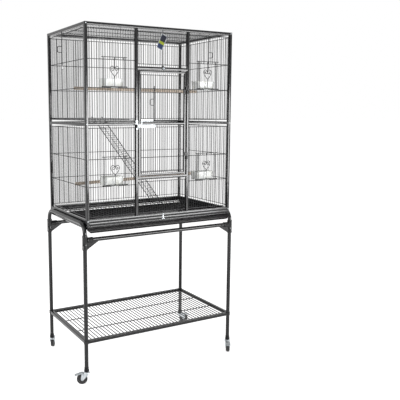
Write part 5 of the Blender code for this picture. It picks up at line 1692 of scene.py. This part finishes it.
@dataclass
class Base(Assembly):
    """The frame under the cage with its runners, the grate and the waste tray."""

    tray_wall: float = 0.0015
    tray_depth: float = 0.022
    chamfer: float = 0.017
    lip_h: float = 0.027
    lip_t: float = 0.008
    grate_pitch: float = 0.025

    def rails(self) -> None:
        """Build the tube frame and a folded two-ledge runner under each end."""
        s = self.sizes
        low, high, t = s.base_z, s.base_z + s.base_h, s.runner_t
        reach = s.inner_x + s.lap
        work = Workpiece()
        for x0, x1 in both(s.inner_x, s.outer_x):
            work.square_bar((x0, -s.outer_y, low), (x1, s.outer_y, high))
        for y0, y1 in both(s.inner_y, s.outer_y):
            work.square_bar((-reach, y0, low), (reach, y1, high))
        outer = s.outer_x - s.gap * 2
        web, tip, root = outer - t, outer - t - s.ledge, low + s.base_h / 3
        upper, lower = s.ledge_top(0), s.ledge_top(1)
        outline = ((outer, root), (outer, lower - t), (tip, lower - t), (tip, lower), (web, lower),
                   (web, upper - t), (tip, upper - t), (tip, upper), (web, upper), (web, root))
        for sign in (-1, 1):
            work.skin([[(sign * a, y, b) for a, b in outline]
                       for y in (s.gap - s.half_y, s.half_y - s.gap)])
        work.fitted("base_frame_rails", COAT, MAIN, "base_frame")

    def tray(self) -> None:
        """Build the pan, with a pressed step round its floor, and its rolled front lip."""
        s = self.sizes
        wall_x = s.slide_x - s.ledge - s.gap
        rim_z = s.ledge_top(1) + s.gap
        rim_top = rim_z + s.rim
        floor_z = rim_top - self.tray_depth
        front, back = -s.outer_y - s.gap * 2, s.half_y - s.gap * 4
        side, t = self.chamfer, self.tray_wall
        knee, inner_z = floor_z + side * 0.8, floor_z + t
        ends = (wall_x, front, back)
        flange = (s.slide_x, front, back + s.rim)
        # Each row is the ends that a loop keeps to, its inset from them, its height and its radius.
        rows = [(ends, side, floor_z, 0.010), (ends, side * 0.94, floor_z + 0.0004, 0.011),
                (ends, side * 0.05, knee - 0.0004, 0.014), (ends, 0.0, knee + 0.0006, 0.014),
                (ends, 0.0, rim_z, 0.014), (flange, 0.0, rim_z, 0.010),
                (flange, 0.0, rim_top - 0.0004, 0.010), (flange, 0.0004, rim_top, 0.010),
                (ends, t, rim_top, 0.013), (ends, t, knee + t, 0.013),
                (ends, side + t / 2, inner_z, 0.010)]
        rows += [(ends, side + inset, inner_z + rise, 0.012) for inset, rise in
                 ((0.030, 0.0), (0.034, 0.0012), (0.046, 0.0012), (0.050, 0.0))]
        work = Workpiece()
        work.skin([rounded_loop(inset - x, x - inset, y0 + inset, y1 - inset, z, r)
                   for (x, y0, y1), inset, z, r in rows])
        lip_x = s.outer_x - s.gap * 2
        top = s.ledge_top(0) - s.runner_t
        low = top - self.lip_h
        face, lt, start = front - t, self.lip_t, low + 0.0024
        nose = [(0.0, start), (0.42, low + self.lip_h * 0.22), (0.47, low + self.lip_h * 0.36),
                (0.43, low + self.lip_h * 0.5), (0.26, low + self.lip_h * 0.66),
                (0.42, top - lt * 0.78), (0.8, top - lt * 0.5), (0.78, top - lt * 0.2),
                (0.5, top - lt * 0.03), (0.2, top)]
        roll = [(p.x, p.y) for p in eased([(face - lt * a, z, 0) for a, z in nose], 3)]
        roll = [(front + s.gap, start)] + roll + [(front + s.gap, top)]
        cut = lip_x - side * 1.2
        places = [cut + (lip_x - cut) * k / 6 for k in range(7)]
        rings = []
        for x in [-p for p in reversed(places)] + places:
            floor = low + side * 0.9 * max(abs(x) - cut, 0) / (lip_x + s.gap - cut)
            rings.append([(x, a, max(b, floor)) for a, b in roll])
        work.skin(rings)
        work.fitted("waste_tray_pan", TRAY_GLOSS, "tray", "waste_tray", angle=50)

    def grate(self) -> None:
        """Build the floor grate: square bars round it and wires both ways."""
        s = self.sizes
        x_end, bar, r = s.slide_x, s.shelf_bar, s.mesh_r
        y_low, y_high = -s.outer_y + s.gap, s.half_y - s.gap * 4
        z0, z1 = s.grate_top - bar, s.grate_top
        reach = x_end - bar + s.bar_lap
        work = Workpiece()
        for x0, x1 in both(x_end - bar, x_end):
            work.square_bar((x0, y_low, z0), (x1, y_high, z1), s.bar_corner)
        for y in (y_low, y_high - bar):
            work.square_bar((-reach, y, z0), (reach, y + bar, z1), s.bar_corner)
        z = z1 - r - 0.00015
        for x in s.row(bar - x_end, x_end - bar, self.grate_pitch):
            work.wire((x, y_low + bar / 2, z), (x, y_high - bar / 2, z), r)
        middle, half, x = (y_low + y_high) / 2, (y_high - y_low) / 2, x_end - bar / 2
        for y in (middle - half / 2, middle, middle + half / 2):
            work.wire((-x, y, z - r * 1.9), (x, y, z - r * 1.9), r)
        work.fitted("floor_grate_wires", COAT, "grate", "floor_grate")

    def build(self) -> None:
        """Build the frame, the tray and the grate."""
        self.rails()
        self.tray()
        self.grate()


# Stand

@dataclass
class Stand(Assembly):
    """The rolling stand: two bent leg frames, cross rails, cast corner brackets and a low shelf."""

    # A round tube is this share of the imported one, so that it stays inside its flat sides.
    facet: float = 0.985
    bend_r: float = 0.048
    sleeve_t: float = 0.0022
    sleeve_drop: float = 0.0455
    sleeve_h: float = 0.067
    web: float = 0.056
    web_t: float = 0.007
    socket_l: float = 0.026
    shelf_tube: float = 0.016
    shelf_z: float = 0.199
    shelf_pitch: float = 0.0187
    shelf_wire_r: float = 0.0023

    def tube(self, name: str, path: Sequence[Point], stands_for: str) -> None:
        """Build one round tube of the stand.

        Args:
            name: The piece's name.
            path: Its centre line.
            stands_for: The node that it stands for.
        """
        work = Workpiece()
        work.round_bar(path, self.sizes.leg_r * self.facet, 28)
        work.fitted(name, COAT, MAIN, stands_for)

    def tubes(self) -> None:
        """Build the two leg frames, each one tube bent over at the top, and the cross rails."""
        s = self.sizes
        r = self.bend_r
        bends = [(r - s.leg_y, math.pi - QUARTER * step / 12) for step in range(13)]
        bends += [(s.leg_y - r, QUARTER - QUARTER * step / 12) for step in range(13)]
        arch = [(centre + r * math.cos(a), s.leg_top_z - r + r * math.sin(a))
                for centre, a in bends]
        arch = [(-s.leg_y, s.foot_z)] + arch + [(s.leg_y, s.foot_z)]
        for side in Side:
            self.tube(f"leg_tube_{side.label}", [(side.value * s.leg_x, y, z) for y, z in arch],
                      f"leg_frame_{side.label}")
        end = s.leg_x - s.leg_r - s.gap * 2 - self.sleeve_t
        for name, y in (("front", -s.leg_y), ("back", s.leg_y)):
            self.tube(f"rail_tube_{name}", [(-end, y, s.rail_z), (end, y, s.rail_z)],
                      f"cross_rail_{name}")

    def bracket(self, corner: Corner) -> None:
        """Build one cast bracket: sleeve, socket, web and two grub screws.

        Args:
            corner: Which corner of the stand.
        """
        s = self.sizes
        sx, sy, _ = corner.value
        x, y = sx * s.leg_x, sy * s.leg_y
        inner = s.leg_r + s.gap
        outer = inner + self.sleeve_t
        bead, ease = outer + 0.0006, 0.0008
        low = s.rail_z - self.sleeve_drop
        top = low + self.sleeve_h
        work = Workpiece()
        work.turned([(inner, low), (outer - ease, low), (outer, low + ease), (outer, low + 0.004),
                     (bead, low + 0.005), (bead, low + 0.008), (outer, low + 0.009),
                     (outer, top - 0.009), (bead, top - 0.008), (bead, top - 0.005),
                     (outer, top - 0.004), (outer, top - ease), (outer - ease, top), (inner, top)],
                    Matrix.Translation((x, y, 0)), 32)
        length = outer + self.socket_l
        work.turned([(inner, inner), (outer, inner), (outer, length - 0.005),
                     (bead, length - 0.004), (bead, length - 0.001), (outer, length),
                     (inner, length)],
                    Matrix.Translation((x, y, s.rail_z)) @ Matrix.Rotation(-sx * QUARTER, 4, "Y"),
                    32)
        inside = x - sx * s.leg_r
        near, far = inside - sx * self.sleeve_t * 0.5, inside - sx * self.web
        outline = ((near, s.rail_z - s.leg_r * 0.8), (near, low + 0.002), (far, s.rail_z - s.leg_r),
                   (far, s.rail_z - s.leg_r * 0.3))
        work.skin([[(a, y + side, b) for a, b in outline]
                   for side in (-self.web_t / 2, self.web_t / 2)])
        work.fitted(f"bracket_casting_{corner.label}", COAT, MAIN, f"corner_bracket_{corner.label}",
                    edge=0.0006)

        r, slot, sunk = 0.0034, 0.0014, 0.0008
        head = [(0, 0), (r, 0), (r, 0.0012), (r * 0.8, 0.0018), (slot, 0.0018), (slot, sunk),
                (0, sunk)]
        screw = Workpiece()
        for at_x, z in ((x, low + 0.018), (x - sx * (outer + 0.014), s.rail_z)):
            screw.turned(head, Matrix.Translation((at_x, y + sy * (outer - 0.0003), z))
                         @ Matrix.Rotation(-sy * QUARTER, 4, "X"), 20)
        screw.fitted(f"bracket_screws_{corner.label}", COAT, MAIN)

    def shelf(self) -> None:
        """Build the low shelf: square tube round the legs, close wires and two long ones."""
        s = self.sizes
        half, r, corner = self.shelf_tube / 2, self.shelf_wire_r, 0.0018
        z0, z1 = self.shelf_z - half, self.shelf_z + half
        clear = s.leg_r + s.gap
        x_in, y_in = s.leg_x - clear, s.leg_y - clear
        work = Workpiece()
        for x0, x1 in both(s.leg_x - half, s.leg_x + half):
            work.square_bar((x0, -y_in, z0), (x1, y_in, z1), corner)
        for y0, y1 in both(s.leg_y - half, s.leg_y + half):
            work.square_bar((-x_in, y0, z0), (x_in, y1, z1), corner)
        wall = s.leg_r + 0.0018
        for spot in Corner:
            sx, sy, _ = spot.value
            work.turned([(clear, z0), (wall, z0), (wall, z1), (clear, z1)],
                        Matrix.Translation((sx * s.leg_x, sy * s.leg_y, 0)), 32)
        x_end, y_end = s.leg_x - half / 2, s.leg_y - half / 2
        for x in s.row(half - s.leg_x, s.leg_x - half, self.shelf_pitch):
            work.wire((x, -y_end, self.shelf_z), (x, y_end, self.shelf_z), r)
        z = self.shelf_z - r * 1.95
        for y in (-s.leg_y / 3, s.leg_y / 3):
            work.wire((-x_end, y, z), (x_end, y, z), r)
        work.fitted("low_shelf", COAT, MAIN, "storage_shelf")

    def build(self) -> None:
        """Build the tubes, the brackets and the shelf."""
        self.tubes()
        for corner in Corner:
            self.bracket(corner)
        self.shelf()


@dataclass
class Caster(Assembly):
    """One swivel caster: black collar, zinc fork with cap, wheel on an axle, and a brake pedal."""

    corner: Corner
    wheel_r: float = 0.025
    wheel_w: float = 0.017
    axle_r: float = 0.003
    trail: float = 0.021
    fork_t: float = 0.0024
    cap_r: float = 0.015
    cap_z: float = 0.050
    cap_h: float = 0.0085
    stem_r: float = 0.004
    stem_l: float = 0.026
    collar_r: float = 0.012
    collar_up: float = 0.014
    collar_down: float = 0.005

    @property
    def foot(self) -> Matrix:
        """Where the leg's centre line meets the floor."""
        sx, sy, _ = self.corner.value
        return Matrix.Translation((sx * self.sizes.leg_x, sy * self.sizes.leg_y, 0))

    @property
    def place(self) -> Matrix:
        """The caster's own frame: it trails towards its +X."""
        return self.foot @ Matrix.Rotation(math.radians(self.corner.value[2]), 4, "Z")

    @property
    def axle(self) -> Matrix:
        """The axle's place, its own Z along the axle."""
        return self.place @ facing_front(self.trail, 0, self.wheel_r)

    @property
    def inside(self) -> float:
        """Half the room between the cheeks of the fork."""
        return self.wheel_w / 2 + self.sizes.gap * 3

    def collar(self) -> None:
        """Build the moulded collar round the foot of the leg."""
        s = self.sizes
        foot, r = s.foot_z, self.collar_r
        low, top, ease = foot - self.collar_down, foot + self.collar_up, 0.0008
        hole, inner = self.stem_r + s.gap * 2, s.leg_r + s.gap
        work = Workpiece()
        work.turned([(hole, low), (r - ease, low), (r, low + ease), (r, low + 0.003),
                     (r - 0.0004, low + 0.005), (r - 0.0012, low + 0.008),
                     (r - 0.0017, low + 0.012), (r - 0.0019, top - 0.001), (inner + 0.0002, top),
                     (inner, top - 0.0004), (inner, foot - s.gap), (hole, foot - s.gap)],
                    self.foot, 40)
        name = f"caster_collar_{self.corner.label}"
        work.fitted(name + "_sleeve", NYLON, MAIN, name)

    def fork(self) -> None:
        """Build the stem, the domed cap, two pressed cheeks and the axle."""
        s = self.sizes
        stem, stem_top = self.stem_r, s.foot_z + self.stem_l - s.gap * 4
        z, h, r = self.cap_z, self.cap_h, self.cap_r
        work = Workpiece()
        work.turned([(0, z + 0.0004), (r - 0.0014, z), (r, z + 0.0012), (r, z + 0.0026),
                     (r * 0.96, z + h * 0.5), (r * 0.85, z + h * 0.74), (r * 0.6, z + h * 0.92),
                     (stem, z + h), (stem, stem_top - 0.001), (stem - 0.001, stem_top),
                     (0, stem_top)], self.place, 40)
        top, eye = z + s.gap * 4, self.axle_r * 2.1
        outline = [(-r * 0.7, top), (-r * 0.62, z - r * 0.16), (-r * 0.3, z - r * 0.45)]
        outline += [(self.trail + eye * math.cos(a), self.wheel_r + eye * math.sin(a))
                    for a in (math.radians(215 + step * 145 / 8) for step in range(9))]
        outline += [(self.trail + self.axle_r * 1.6, z - r * 0.5), (self.trail + self.axle_r, top)]
        reach = self.inside + self.fork_t
        for y in (-self.inside, reach):
            work.pressed(outline, self.fork_t, self.place @ facing_front(0, y, 0))
        work.turned([(0, -reach), (self.axle_r, -reach), (self.axle_r, reach), (0, reach)],
                    self.axle, 24)
        name = f"caster_fork_{self.corner.label}"
        work.fitted(name + "_pressing", ZINC, f"caster_{self.corner.label}", name, edge=0.0004)

    def wheel(self) -> None:
        """Build the wheel: rounded tread, recessed sides and a raised hub."""
        half, r, hole = self.wheel_w / 2, self.wheel_r, self.axle_r + self.sizes.gap * 2
        one = [(hole, half), (r * 0.30, half), (r * 0.34, half - 0.0016), (r * 0.40, half - 0.0024),
               (r * 0.70, half - 0.0024), (r * 0.76, half - 0.0012), (r * 0.80, half),
               (r * 0.88, half), (r * 0.95, half * 0.86), (r * 0.99, half * 0.62), (r, half * 0.3)]
        work = Workpiece()
        work.turned(one + [(a, -b) for a, b in reversed(one)], self.axle, 48)
        name = f"caster_wheel_{self.corner.label}"
        work.fitted(name + "_tread", TREAD, f"wheel_{self.corner.label}", name)

    def brake(self) -> None:
        """Build the brake pedal: a bent plate with a rounded, ribbed end."""
        s = self.sizes
        wide, thick = self.inside + self.fork_t, self.fork_t * 0.8
        low = self.cap_z + s.gap * 5
        knee = self.trail + self.axle_r * 2
        tail = self.wheel_r * 2 + thick * 2
        drop = self.wheel_r * 0.35
        end = low - drop
        run = ((self.cap_r + s.gap * 2, low, 1.0), (knee - 0.002, low, 1.0),
               (knee + 0.002, low - 0.0008, 1.0), (tail - 0.004, end + 0.0008, 0.96),
               (tail, end + 0.0002, 0.86), (tail + thick, end + thick * 0.8, 0.62))
        rows = 9
        rings = []
        for x, z, share in run:
            reach = wide * share
            ys = [-reach + 2 * reach * i / rows for i in range(rows + 1)]
            ring = [(x, y, z) for y in ys] + [(x, -y, z + thick) for y in ys]
            rings.append([self.place @ Vector(point) for point in ring])
        work = Workpiece()
        work.skin(rings)
        slope = Vector((tail - knee, 0, -drop)).normalized()
        for share in (0.45, 0.6, 0.75):
            at = Vector((knee, 0, low)) + slope * (tail - knee) * share
            work.wire(*(self.place @ Vector((at.x, sign * wide * 0.6, at.z + thick))
                        for sign in (-1, 1)), 0.0007)
        name = f"caster_brake_{self.corner.label}"
        work.fitted(name + "_pedal", ZINC, f"brake_{self.corner.label}", name, edge=0.0004)

    def build(self) -> None:
        """Build the collar, the fork, the wheel and the pedal."""
        self.collar()
        self.fork()
        self.wheel()
        self.brake()


# Studio

@dataclass
class Studio:
    """A white sweep, soft lamps and the camera at the photograph's place."""

    reach: float = 70.0
    # What the floor and the room give the rays that light the cage, and add where they are seen.
    room_light: float = 0.3
    floor_lift: float = 0.74
    camera_at: tuple[float, float, float] = (-1.3809, -2.5875, 1.2422)
    yaw: float = 0.4999
    pitch: float = -0.1314
    sensor: float = 36.0
    focal_px: float = 580.06
    centre_px: Pair = (144.67, 188.53)
    frame_px: float = 400.0

    def shown(self, tree: Tree) -> Node:
        """Tell rays that see the studio itself from rays that only light the cage.

        Args:
            tree: The node tree that asks.

        Returns:
            A node that gives 1 for camera, glossy and transmission rays, and 0 for the others.
        """
        path = add_node(tree, "LightPath").outputs
        seen = add_node(tree, "Math", {"operation": "MAXIMUM"},
                        {0: path["Is Camera Ray"], 1: path["Is Glossy Ray"]})
        return add_node(tree, "Math", {"operation": "MAXIMUM"},
                        {0: seen, 1: path["Is Transmission Ray"]})

    def floor(self) -> None:
        """Lay the pale floor, white to the eye and still shaded by the cage."""
        mesh = bmesh.new()
        bmesh.ops.create_grid(mesh, x_segments=8, y_segments=8, size=self.reach)
        data = bpy.data.meshes.new("studio_floor")
        mesh.to_mesh(data)
        mesh.free()
        item = bpy.data.objects.new("studio_floor", data)
        bpy.context.scene.collection.objects.link(item)
        material = bpy.data.materials.new("PaleStudioPaper")
        material.use_nodes = True
        tree = material.node_tree
        grain = add_node(tree, "TexNoise", {"Scale": 3.0, "Detail": 2.0})
        tone = add_node(tree, "ValToRGB", {"stops": ((0.0, "#f3f3f3"), (1.0, "#f7f7f7"))}, grain)
        lift = add_node(tree, "Math", {"operation": "MULTIPLY", 1: self.floor_lift},
                        {0: self.shown(tree)})
        set_up(tree.nodes["Principled BSDF"],
               {"Roughness": 0.9, "Specular IOR Level": 0.1, "Emission Color": "#ffffff"},
               {"Base Color": tone, "Emission Strength": lift})
        data.materials.append(material)

    def world(self) -> None:
        """Surround the cage with white, at full strength only where it is seen."""
        world = bpy.data.worlds.new("studio_room")
        bpy.context.scene.world = world
        world.use_nodes = True
        tree = world.node_tree
        level = add_node(tree, "MapRange", {"To Min": self.room_light, "To Max": 1.0},
                         self.shown(tree))
        set_up(tree.nodes["Background"], {"Color": "#ffffff"}, {"Strength": level})

    def lamp(self, name: str, at: Point, target: Point, size: Pair, watts: float) -> None:
        """Stand or hang a soft rectangular lamp, itself out of sight.

        Args:
            name: Its name.
            at: Where it is.
            target: What it faces.
            size: Its width and height.
            watts: Its power.
        """
        data = bpy.data.lights.new(name, "AREA")
        data.shape = "RECTANGLE"
        data.size, data.size_y = size
        data.energy = watts
        item = bpy.data.objects.new(name, data)
        item.location = at
        item.rotation_euler = (Vector(target) - Vector(at)).to_track_quat("-Z", "Y").to_euler()
        item.visible_camera = False
        bpy.context.scene.collection.objects.link(item)

    def camera(self) -> None:
        """Place the camera, with the lens and the shift that the photograph's framing needs."""
        data = bpy.data.cameras.new("photo_camera")
        data.sensor_width = self.sensor
        data.sensor_fit = "HORIZONTAL"
        data.lens = self.focal_px * self.sensor / self.frame_px
        data.shift_x = (self.frame_px / 2 - self.centre_px[0]) / self.frame_px
        data.shift_y = (self.centre_px[1] - self.frame_px / 2) / self.frame_px
        item = bpy.data.objects.new("photo_camera", data)
        item.location = self.camera_at
        item.rotation_euler = (QUARTER + self.pitch, 0.0, -self.yaw)
        bpy.context.scene.collection.objects.link(item)
        bpy.context.scene.camera = item

    def build(self) -> None:
        """Set up the floor, the room, the lamps and the camera."""
        bpy.context.scene.view_settings.view_transform = "Standard"
        self.floor()
        self.world()
        self.lamp("low_front_lamp", (2.2, -4.6, 0.87), (0.3, 0.0, 0.87), (2.1, 1.26), 165)
        self.lamp("key_lamp", (-2.6, -2.2, 3.2), (0, 0, 1.0), (1.6, 1.6), 18)
        self.lamp("side_lamp", (-3.4, 0.2, 1.5), (0, 0, 1.1), (1.6, 1.6), 55)
        self.lamp("top_lamp", (0.0, 0.6, 4.0), (0, 0, 1.0), (2.4, 2.4), 30)
        self.camera()


def main() -> None:
    """Build every sub-assembly in order."""
    logging.basicConfig(level=logging.INFO, format="%(message)s")
    sizes = CageSizes()
    Studio().build()
    Stand(sizes).build()
    for corner in Corner:
        Caster(sizes, corner).build()
    Base(sizes).build()
    Walls(sizes).build()
    FrontWall(sizes).build()
    Door(sizes).build()
    Feeders(sizes).build()
    Fittings(sizes).build()


if __name__ == "__main__":
    main()
